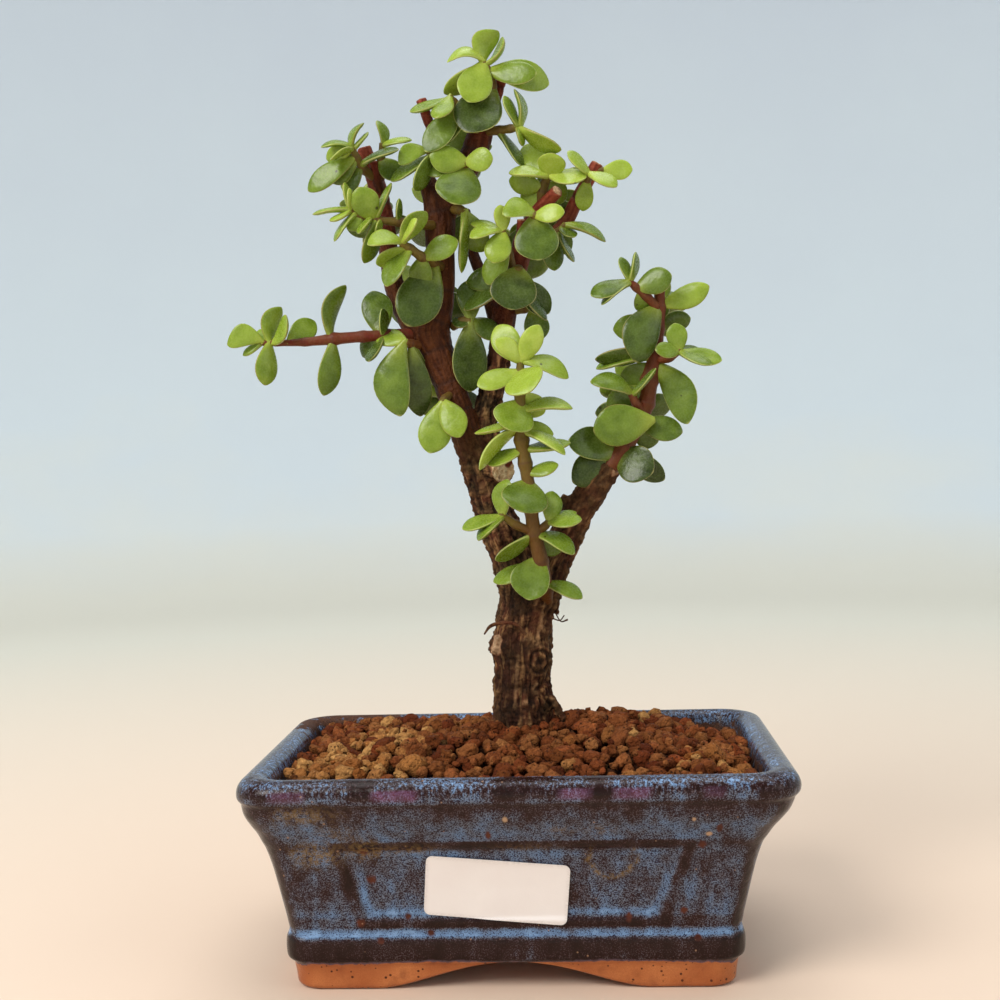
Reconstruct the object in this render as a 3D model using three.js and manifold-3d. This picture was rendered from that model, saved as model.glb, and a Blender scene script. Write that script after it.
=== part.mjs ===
// Potted dwarf jade bonsai: a glazed stoneware pot on four feet, granular soil, a forked trunk
// with old pruning cuts, and leafy shoots of small fleshy leaves.
// Millimetres, +Z up. The pot's long side runs along X and its front faces -Y.
import * as THREE from "three";
import { mergeVertices } from "three/addons/utils/BufferGeometryUtils.js";
import Module from "manifold-3d";

const wasm = await Module();
wasm.setup();

// Driving dimensions of the pot
const POT_LENGTH = 172;
const POT_DEPTH = 115;
const POT_HEIGHT = 68.8;
const FLOOR_UNDERSIDE = 9;
const FLOOR_TOP = 14;
const PANEL_BOTTOM = 23;
const PANEL_TOP = 46;
const PANEL_RECESS = 0.6;
const PANEL_EDGE = 1.2;
const PANEL_MARGIN = 41;
const PANEL_FLARE = 7;
const ARCH_HEIGHT = 8.5;
const FRONT_ARCH_HALF = 42;
const SIDE_ARCH_HALF = 20;
const APRON_THICKNESS = 7;
const DRAIN_RADIUS = 6;
const DRAIN_X = 38;

// The lower body sits a little to the left of the rim: heights and how far each ring is moved
const BODY_SHIFT = [[0, -2.4], [20, -2.3], [46, -1.9], [60, -0.3], [63.5, 0]];

// Label on the front wall
const LABEL_WIDTH = 44;
const LABEL_HEIGHT = 19.5;
const LABEL_THICKNESS = 0.6;
const LABEL_CENTRE = [-6.7, 32.4];
const LABEL_TILT = -0.09;

// Drainage screens over the holes in the floor
const SCREEN_SIDE = 18;
const SCREEN_THICKNESS = 1;
const SCREEN_HOLE = 3.4;
const SCREEN_PITCH = 5;

// Soil
const SOIL_EDGE_HEIGHT = 63.5;
const SOIL_MOUND_HEIGHT = 73;
const HEAP_CENTRE = [30, 14];
const HEAP_HEIGHT = 3;
const HEAP_REACH = 24;
const GRANULE_PITCH = 6.2;
const GRANULE_RELIEF = 1.6;
const LOOSE_GRANULES = 50;
const TRUNK_HOLE_RADIUS = 11.5;

// Room left between neighbouring pieces, and the front view's eye: stems and leaf tips are given
// by where they are seen against the trunk's plane, and slide along the line of sight to their depth
const GAP = 0.3;
const TRUNK_PLANE_Y = 4;
const EYE = new THREE.Vector3(21.7, -464, 164.6);

// Leaves: outlines as share of the length and of half the width, from the tip round to the foot,
// which is sunk in the stem
const LEAF_THICKNESS = 1.1;
const LEAF_THICKNESS_SHARE = 0.06;
const LEAF_FOOT_DEPTH = 0.8;
const LEAF_CREST = 0.55;
const LARGE_LEAF = 12.5;
const LARGE_OUTLINE = [
  [1, 0], [0.88, 0.66], [0.64, 1], [0.34, 0.68], [0, 0], [0.34, -0.68], [0.64, -1], [0.88, -0.66],
];
const SMALL_OUTLINE = [[1, 0], [0.84, 0.78], [0.48, 0.92], [0, 0], [0.48, -0.92], [0.84, -0.78]];
const TWIG_SIDES = 5;

// A small repeatable random draw
function makeDraw(seed) {
  let state = seed;
  return function draw(low, high) {
    state = (Math.imul(state, 1664525) + 1013904223) >>> 0;
    return low + (high - low) * (state / 4294967296);
  };
}

// Joins, cuts and conversions
function toSolid(geometry) {
  const plain = geometry.clone();
  plain.deleteAttribute("normal");
  plain.deleteAttribute("uv");
  const merged = mergeVertices(plain, 1e-4);
  return new wasm.Manifold(new wasm.Mesh({
    numProp: 3,
    vertProperties: merged.attributes.position.array,
    triVerts: new Uint32Array(merged.index.array),
  }));
}

function toGeometry(solid) {
  const mesh = solid.getMesh();
  const geometry = new THREE.BufferGeometry();
  geometry.setAttribute("position", new THREE.BufferAttribute(mesh.vertProperties, 3));
  geometry.setIndex(new THREE.BufferAttribute(mesh.triVerts, 1));
  geometry.computeVertexNormals();
  return geometry;
}

function joinAll(solids) {
  return solids.reduce((joined, next) => joined.add(next));
}

// The largest body of a solid, with scraps and sealed hollows left out
function largestBody(solid) {
  const bodies = solid.decompose();
  return bodies.reduce((best, next) => (next.volume() > best.volume() ? next : best));
}

function boxesTouch(first, second) {
  return first.min.every((low, axis) => low <= second.max[axis] && second.min[axis] <= first.max[axis]);
}

// A closed skin over rings of points, each ring anticlockwise as seen from the last one
function loft(rings) {
  const count = rings[0].length;
  const positions = rings.flat().flatMap((point) => [point.x, point.y, point.z]);
  const faces = [];
  for (let level = 0; level + 1 < rings.length; level += 1) {
    for (let step = 0; step < count; step += 1) {
      const here = level * count + step;
      const next = level * count + ((step + 1) % count);
      faces.push(here, next, next + count, here, next + count, here + count);
    }
  }
  addCap(rings[0], 0, true);
  addCap(rings[rings.length - 1], (rings.length - 1) * count, false);
  function addCap(ring, first, isStart) {
    const centre = new THREE.Vector3();
    ring.forEach((point) => centre.addScaledVector(point, 1 / count));
    const middle = positions.length / 3;
    positions.push(centre.x, centre.y, centre.z);
    for (let step = 0; step < count; step += 1) {
      const here = first + step;
      const next = first + ((step + 1) % count);
      faces.push(middle, isStart ? next : here, isStart ? here : next);
    }
  }
  const geometry = new THREE.BufferGeometry();
  geometry.setAttribute("position", new THREE.Float32BufferAttribute(positions, 3));
  geometry.setIndex(faces);
  return geometry;
}

// Pot: outer wall from the feet to the rim, as height, distance in from the rim's edge and
// corner radius
const POT_WALL = [
  [0, 17.5, 8], [8.5, 16, 8], [11, 14.4, 8], [16, 14.4, 8], [18.2, 15.2, 8],
  [22.4, 14.6, 8], [23.6, 14.4, 8], [34, 12.3, 8], [40, 10.9, 8.5], [45.4, 9.3, 9],
  [46.6, 8.8, 9], [51, 6.4, 10], [56, 3, 11], [60.8, 1.3, 12.5], [61.6, 0.4, 13],
  [63.6, 0, 13], [66, 0.5, 13], [67.8, 1.8, 12.5], [POT_HEIGHT, 4.2, 12],
];
const POT_INSIDE = [
  [68.4, 7.2, 10], [66.5, 9, 9], [54, 11.8, 9], [38, 17, 9], [FLOOR_TOP, 21, 9],
];
const CORNER_STEPS = 3;

// Value at a height of a profile's column, with straight lines between its points
function alongProfile(profile, height, column) {
  for (let row = 0; row + 1 < profile.length; row += 1) {
    const [low, high] = [profile[row], profile[row + 1]];
    if (height <= high[0]) {
      const share = (height - low[0]) / (high[0] - low[0]);
      return low[column] + share * (high[column] - low[column]);
    }
  }
  return profile[profile.length - 1][column];
}

// How deep the sunk panels are at a height, and how far they reach from the middle of a side
function panelRecess(height) {
  return height > PANEL_BOTTOM && height < PANEL_TOP ? PANEL_RECESS : 0;
}

function panelHalf(height, halfSide) {
  const share = (height - PANEL_BOTTOM) / (PANEL_TOP - PANEL_BOTTOM);
  return halfSide - PANEL_MARGIN + PANEL_FLARE * THREE.MathUtils.clamp(share, 0, 1);
}

// One ring of the pot: straight sides that hold the panels' edges, and rounded corners
function potRing(height, inset, radius, recess) {
  const half = [POT_LENGTH / 2 - inset, POT_DEPTH / 2 - inset];
  const shift = alongProfile(BODY_SHIFT, height, 1);
  const ring = [];
  for (let side = 0; side < 4; side += 1) {
    const turn = side * Math.PI / 2;
    const along = half[side % 2];
    const out = half[(side + 1) % 2];
    const panel = panelHalf(height, side % 2 === 0 ? POT_LENGTH / 2 : POT_DEPTH / 2);
    const place = (distance, depth) => new THREE.Vector3(
      shift + Math.cos(turn) * distance + Math.sin(turn) * depth,
      Math.sin(turn) * distance - Math.cos(turn) * depth,
      height,
    );
    ring.push(place(-panel - PANEL_EDGE / 2, out));
    ring.push(place(-panel + PANEL_EDGE / 2, out - recess));
    ring.push(place(panel - PANEL_EDGE / 2, out - recess));
    ring.push(place(panel + PANEL_EDGE / 2, out));
    for (let step = 0; step <= CORNER_STEPS; step += 1) {
      const angle = (step / CORNER_STEPS) * Math.PI / 2;
      ring.push(place(along - radius + radius * Math.sin(angle), out - radius + radius * Math.cos(angle)));
    }
  }
  return ring;
}

function roundedBlock(low, high, insetLow, insetHigh, radius) {
  return loft([potRing(low, insetLow, radius, 0), potRing(high, insetHigh, radius, 0)]);
}

// The opening between two feet, as a wave-shaped outline cut right through
function archCutter(halfWidth, length) {
  const steps = 12;
  const outline = new THREE.Shape();
  outline.moveTo(-halfWidth, -2);
  for (let step = 0; step <= steps; step += 1) {
    const across = -halfWidth + (2 * halfWidth * step) / steps;
    const rise = Math.cos((Math.PI / 2) * (across / halfWidth)) ** 1.6;
    outline.lineTo(across, ARCH_HEIGHT * rise);
  }
  outline.lineTo(halfWidth, -2);
  const geometry = new THREE.ExtrudeGeometry(outline, { depth: length, bevelEnabled: false });
  geometry.translate(0, 0, -length / 2);
  geometry.rotateX(Math.PI / 2);
  return geometry;
}

function buildPot() {
  const rings = POT_WALL.concat(POT_INSIDE)
    .map(([height, inset, radius], row) => (
      potRing(height, inset, radius, row < POT_WALL.length ? panelRecess(height) : 0)));
  const shell = toSolid(loft(rings));
  const hollowInset = POT_WALL[0][1] + APRON_THICKNESS;
  const hollow = toSolid(roundedBlock(-2, FLOOR_UNDERSIDE, hollowInset, hollowInset, 4));
  const frontArch = toSolid(archCutter(FRONT_ARCH_HALF, POT_DEPTH).translate(BODY_SHIFT[0][1], 0, 0));
  const sideArch = toSolid(archCutter(SIDE_ARCH_HALF, POT_LENGTH).rotateZ(Math.PI / 2));
  const drains = [-DRAIN_X, DRAIN_X].map((x) => {
    const drain = new THREE.CylinderGeometry(DRAIN_RADIUS, DRAIN_RADIUS, FLOOR_TOP + 2, 20);
    return toSolid(drain.rotateX(Math.PI / 2).translate(x, 0, FLOOR_TOP / 2 + 4));
  });
  return [hollow, frontArch, sideArch, ...drains].reduce((pot, cutter) => pot.subtract(cutter), shell);
}

// Label: a thin sheet with rounded corners that lies along the wall and its panel
function labelPoint(across, up, offset) {
  const x = LABEL_CENTRE[0] + across * Math.cos(LABEL_TILT) - up * Math.sin(LABEL_TILT);
  const z = LABEL_CENTRE[1] + across * Math.sin(LABEL_TILT) + up * Math.cos(LABEL_TILT);
  const inset = alongProfile(POT_WALL, z, 1);
  const sunk = PANEL_RECESS * THREE.MathUtils.clamp((z - PANEL_BOTTOM + 1) / 2, 0, 1);
  return new THREE.Vector3(x, -(POT_DEPTH / 2 - inset - sunk) - offset, z);
}

function labelHalfWidth(up) {
  const corner = 2;
  const intoCorner = Math.max(0, Math.abs(up) - (LABEL_HEIGHT / 2 - corner));
  return LABEL_WIDTH / 2 - corner + Math.sqrt(Math.max(0, corner * corner - intoCorner * intoCorner));
}

function buildLabel() {
  const rows = [-9.75, -9.1, -7.75, -4, 2, 7.75, 9.1, 9.75];
  const ring = (up) => {
    const half = labelHalfWidth(up);
    const spots = [-half, -half / 2, 0, half / 2, half];
    const back = spots.map((across) => labelPoint(across, up, GAP));
    const face = spots.map((across) => labelPoint(across, up, GAP + LABEL_THICKNESS));
    return face.concat(back.reverse());
  };
  return toSolid(loft(rows.map(ring)));
}

// Drainage screens: flat plastic squares with a lattice of holes
function buildScreen(x) {
  const level = FLOOR_TOP + GAP + SCREEN_THICKNESS / 2;
  const plate = new THREE.BoxGeometry(SCREEN_SIDE, SCREEN_SIDE, SCREEN_THICKNESS).translate(x, 0, level);
  let screen = toSolid(plate);
  for (let column = -1; column <= 1; column += 1) {
    for (let row = -1; row <= 1; row += 1) {
      const hole = new THREE.BoxGeometry(SCREEN_HOLE, SCREEN_HOLE, 2 * SCREEN_THICKNESS);
      hole.translate(x + column * SCREEN_PITCH, row * SCREEN_PITCH, level);
      screen = screen.subtract(toSolid(hole));
    }
  }
  return screen;
}

// Soil: a bed that fills the pot, mounded at the trunk, with granules in relief and loose on top
function moundHeight(x, y) {
  const reach = Math.max(Math.abs(x) / (POT_LENGTH / 2 - 9), Math.abs(y) / (POT_DEPTH / 2 - 9));
  const slope = Math.cos((Math.PI / 2) * Math.min(1, reach));
  const [heapX, heapY] = HEAP_CENTRE;
  const heap = HEAP_HEIGHT * Math.exp(-(((x - heapX) ** 2 + (y - heapY) ** 2) / HEAP_REACH ** 2));
  return SOIL_EDGE_HEIGHT + (SOIL_MOUND_HEIGHT - SOIL_EDGE_HEIGHT) * slope ** 0.8 + heap * slope;
}

function granuleRelief(x, y) {
  const row = Math.round(y / GRANULE_PITCH);
  const column = Math.round(x / GRANULE_PITCH + (row % 2) / 2);
  const draw = makeDraw((row + 40) * 131 + (column + 60) * 7919);
  return GRANULE_RELIEF * draw(-1, 1);
}

// Pieces that each stretch of a ring is split into, so that the granules' relief reads
const LONG_SIDE_PIECES = [1, 7, 1, 1, 1, 1, 1, 1];
const SHORT_SIDE_PIECES = [1, 4, 1, 1, 1, 1, 1, 1];

function soilRing(inset, radius, share, height) {
  const ring = potRing(height ?? SOIL_EDGE_HEIGHT, inset, radius, 0);
  const pieces = [LONG_SIDE_PIECES, SHORT_SIDE_PIECES, LONG_SIDE_PIECES, SHORT_SIDE_PIECES].flat();
  return ring.flatMap((point, index) => {
    const next = ring[(index + 1) % ring.length];
    return Array.from({ length: pieces[index] }, (_, step) => {
      const spot = point.clone().lerp(next, step / pieces[index]).multiplyScalar(share);
      spot.z = height ?? moundHeight(spot.x, spot.y) + granuleRelief(spot.x, spot.y);
      return spot;
    });
  });
}

function looseGranule(draw) {
  const granule = new THREE.OctahedronGeometry(draw(2.8, 4.4), 0);
  granule.scale(1, draw(0.75, 1), draw(0.65, 0.9));
  granule.rotateX(draw(0, 3)).rotateZ(draw(0, 6));
  const x = draw(-71, 71);
  const y = draw(-42, 42);
  return granule.translate(x, y, moundHeight(x, y) + 0.8);
}

function buildSoil() {
  const walls = [[FLOOR_TOP, 21], [38, 17], [54, 11.8]]
    .map(([height, inset]) => soilRing(inset + GAP, 9, 1, height + (height === FLOOR_TOP ? GAP : 0)));
  const tops = [1, 0.86, 0.7, 0.52, 0.32]
    .map((share) => soilRing(9.9 + GAP, 9, share));
  const bed = toSolid(loft(walls.concat(tops)));
  const draw = makeDraw(71);
  const granules = Array.from({ length: LOOSE_GRANULES }, () => toSolid(looseGranule(draw)));
  const pockets = [-DRAIN_X, DRAIN_X].map((x) => {
    const side = SCREEN_SIDE + 2 * GAP;
    const pocket = new THREE.BoxGeometry(side, side, SCREEN_THICKNESS + 2 * GAP);
    return toSolid(pocket.translate(x, 0, FLOOR_TOP + GAP + SCREEN_THICKNESS / 2));
  });
  const trunkHole = new THREE.CylinderGeometry(TRUNK_HOLE_RADIUS, TRUNK_HOLE_RADIUS - 1, 40, 20);
  trunkHole.rotateX(Math.PI / 2).translate(1, TRUNK_PLANE_Y, 67.5);
  const rootHole = buildStem(WOOD.root, SMALL_WOOD_SIDES, GAP);
  const soil = [...pockets, toSolid(trunkHole), rootHole]
    .reduce((rest, cutter) => rest.subtract(cutter), joinAll([bed, ...granules]));
  return largestBody(soil);
}

// Slides a point that is seen at (x, z) against the trunk's plane to the depth y
function seen([x, y, z]) {
  const share = (y - EYE.y) / (TRUNK_PLANE_Y - EYE.y);
  return new THREE.Vector3(EYE.x + (x - EYE.x) * share, y, EYE.z + (z - EYE.z) * share);
}

// A stem: a round tapered tube through its points, each [x, y, z, radius]
function stemCurve(path) {
  return new THREE.CatmullRomCurve3(path.map(seen), false, "centripetal");
}

// A place along a stem by the number of its path point, kept a little short of the stem's end
function stemPoint(path, index) {
  return stemCurve(path).getPoint(Math.min(index, path.length - 1.25) / (path.length - 1));
}

function buildStem(path, sides, grow = 0) {
  const curve = stemCurve(path);
  const steps = path.length - 1;
  const frames = curve.computeFrenetFrames(steps);
  const rings = [];
  for (let step = 0; step <= steps; step += 1) {
    const share = step / steps;
    const index = share * (path.length - 1);
    const low = Math.min(Math.floor(index), path.length - 2);
    const radius = THREE.MathUtils.lerp(path[low][3], path[low + 1][3], index - low) + grow;
    const centre = curve.getPoint(share);
    const tangent = curve.getTangent(share);
    const side = frames.normals[step].clone().addScaledVector(tangent, -frames.normals[step].dot(tangent));
    side.normalize();
    const other = tangent.clone().cross(side);
    rings.push(Array.from({ length: sides }, (_, corner) => {
      const angle = (2 * Math.PI * corner) / sides;
      return centre.clone()
        .addScaledVector(side, radius * Math.cos(angle))
        .addScaledVector(other, radius * Math.sin(angle));
    }));
  }
  return toSolid(loft(rings));
}

// A leaf: a thick blade with a narrow foot. Its face is turned from facing the front by an angle,
// towards the top for a leaf that lies across and towards the right for one that stands or hangs.
// Its bend, as a share of the length, moves the middle sideways as seen from the front
function leafFrame({ base, tip, faceTurn, upper }) {
  const along = tip.clone().sub(base).normalize();
  if (upper) return { along, normal: upper, side: upper.clone().cross(along), sway: upper };
  const front = new THREE.Vector3(0, -1, 0);
  front.addScaledVector(along, -front.dot(along)).normalize();
  const sway = front.clone().cross(along);
  const other = along.clone().cross(front);
  const lead = Math.abs(other.z) > 0.35 ? other.z : other.x;
  other.multiplyScalar(Math.sign(lead) || 1);
  const turn = THREE.MathUtils.degToRad(faceTurn);
  const normal = front.multiplyScalar(Math.cos(turn)).addScaledVector(other, Math.sin(turn));
  return { along, normal, side: normal.clone().cross(along), sway };
}

function buildLeaf(leaf, grow = 0) {
  const { base, tip, wide, bow, bend = 0 } = leaf;
  const { along, normal, side, sway } = leafFrame(leaf);
  const foot = base.clone().addScaledVector(along, -LEAF_FOOT_DEPTH);
  const length = foot.distanceTo(tip);
  const lift = (LEAF_THICKNESS + LEAF_THICKNESS_SHARE * length) / 2 + grow;
  const place = (share, across, height) => foot.clone()
    .addScaledVector(along, share * length + (2 * share - 1) * grow)
    .addScaledVector(side, across * (wide / 2 + grow))
    .addScaledVector(sway, 4 * bend * length * share * (1 - share))
    .addScaledVector(normal, height + 4 * bow * length * share * (1 - share));
  const outline = length > LARGE_LEAF ? LARGE_OUTLINE : SMALL_OUTLINE;
  const rim = outline.map(([share, across]) => place(share, across, 0));
  const points = [...rim, place(LEAF_CREST, 0, lift), place(LEAF_CREST, 0, -lift)];
  const [upper, lower] = [rim.length, rim.length + 1];
  const faces = rim.flatMap((_, index) => {
    const next = (index + 1) % rim.length;
    return [upper, index, next, lower, next, index];
  });
  const geometry = new THREE.BufferGeometry().setFromPoints(points);
  geometry.setIndex(faces);
  return toSolid(geometry);
}

// Leaf rows are [place along the stem, x and z of the tip as seen, reach towards the front,
// width, turn of the face, and the bend if there is one]
function leafFromRow(path, row, draw) {
  const [place, x, z, reach, wide, faceTurn, bend] = row;
  const base = stemPoint(path, place);
  return { base, tip: seen([x, base.y - reach, z]), wide, bow: draw(-0.02, 0.09), faceTurn, bend };
}

// Crosswise pairs along a hidden stem: each pair stands at a right angle to the one before
function crosswiseLeaves(path, pairs, length, draw) {
  const curve = stemCurve(path);
  const leaves = [];
  for (let pair = 0; pair < pairs; pair += 1) {
    const share = (pair + 1) / (pairs + 0.3);
    const base = curve.getPoint(share);
    const tangent = curve.getTangent(share);
    const level = new THREE.Vector3(-tangent.y, tangent.x, 0).normalize();
    const turn = (pair % 2) * Math.PI / 2 + draw(-0.25, 0.25);
    const out = level.applyAxisAngle(tangent, turn);
    const rise = pair === pairs - 1 ? 0.9 : draw(0.2, 0.6);
    const size = length * (1 - 0.35 * share) * draw(0.85, 1.1);
    for (const sign of [1, -1]) {
      const along = out.clone().multiplyScalar(sign * Math.cos(rise));
      along.addScaledVector(tangent, Math.sin(rise));
      const tip = base.clone().addScaledVector(along, size);
      const upper = tangent.clone().addScaledVector(along, -tangent.dot(along)).normalize();
      leaves.push({ base, tip, wide: size * draw(0.6, 0.72), bow: draw(-0.02, 0.09), upper });
    }
  }
  return leaves;
}

// Wood: the trunk, its limbs and the stubs left by pruning, each [x, y, z, radius]
const WOOD = {
  trunk: [[1, 4, 48, 9.4], [0.8, 4, 62, 10], [0.5, 4, 75, 10.4], [0.8, 4, 86, 10], [1, 4, 95, 10.3],
    [0.8, 4, 101, 10.7], [1.6, 4, 107, 9.7], [2.6, 4, 114, 9.7], [3.6, 4, 121, 9.8]],
  leftLimb: [[3, 4, 114, 8.4], [-1.5, 4, 130, 7.6], [-5.5, 4, 141, 6.9], [-9, 4, 151, 6.5],
    [-11.5, 3.5, 161, 6.3], [-15.2, 3, 170, 5.4], [-18, 3, 179, 5.2], [-21.5, 3, 190, 5.2],
    [-25, 3, 200, 5.9], [-27, 3, 207, 7], [-25, 3, 213, 5.6], [-23.3, 3, 222, 4.9],
    [-23, 3, 235, 4.9], [-23, 3, 246, 5.3], [-24.5, 3.5, 252, 4], [-27, 4, 258.5, 3]],
  crownLimb: [[-22, 3, 246, 4.6], [-17, 2.5, 256, 4.4], [-11.5, 2, 265, 4.5], [-8.6, 1.5, 272, 4.4],
    [-5.5, 1, 279, 3], [-2.5, 0.5, 285, 1.8], [-0.6, 0, 291, 1.8]],
  farLimb: [[-9, 5, 166, 5], [-9.5, 7, 176, 4.6], [-7.5, 8, 185, 4.4], [-5, 9, 194, 4.3],
    [-3.4, 9, 203, 4.2], [-1.8, 9, 213, 4.2], [0.5, 8, 222, 4], [3.5, 6, 231, 3.9],
    [6, 5, 239, 3.2], [10, 2, 246, 2.5], [14, -2, 250, 2.2], [17.2, -5.5, 253.1, 2.1]],
  farSideStub: [[5, 6, 233, 3], [12, 5, 236, 2.8], [18.3, 4, 241, 2.5], [23.6, 2.5, 250, 2.4],
    [30.7, 1, 261.7, 2.2]],
  outerLimb: [[-28, 3, 204, 5], [-34, 4, 212, 4.2], [-38.5, 5, 222, 3.6], [-40.3, 5, 233, 3.3],
    [-41.3, 4.5, 245, 3.2], [-43.5, 3.5, 256, 3.1], [-46, 2.5, 264, 2.7], [-47.8, 2, 270, 2.5]],
  rightLimb: [[6, 4, 114, 8.2], [11, 3, 127, 6.8], [16.5, 2.5, 137, 6], [21.5, 2, 146, 5.6],
    [27, 1, 154, 5.2], [32.5, 0.5, 160.5, 4.4]],
  darkLimb: [[-4, 10, 208, 3], [-8, 13, 222, 2.2], [-12.5, 15, 235, 2], [-14, 15, 248, 1.7]],
  crownStub: [[-19, 1, 256, 2.4], [-22, -1, 265, 1.8], [-24.6, -2, 274, 1.7], [-28, -3, 285.3, 1.9]],
  outerStub: [[-42.3, 3, 253, 1.8], [-43.5, 0, 259, 1.5], [-45, -2, 265.5, 1.5]],
  smallStub: [[4, 5, 234, 2], [4.3, 1, 239, 1.6], [4.6, -1, 244, 1.5]],
  paleCut: [[-8, 3, 161.5, 5], [-3.5, -3.5, 159.8, 4.8]],
  rightKnob: [[19, 2, 147, 3.4], [15.6, 1, 150.6, 1.6]],
  trunkKnob: [[-4, 1, 100, 4.5], [-9.3, -1, 101.3, 3.2]],
  root: [[8, 2, 85, 2.4], [12, 0.5, 79.5, 1.6], [14.5, 0, 74, 1.3], [15.5, 0, 68, 1.3]],
};
const WOOD_SIDES = { trunk: 11, leftLimb: 8, rightLimb: 8, farLimb: 6, crownLimb: 6, outerLimb: 6 };
const SMALL_WOOD_SIDES = 5;

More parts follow.
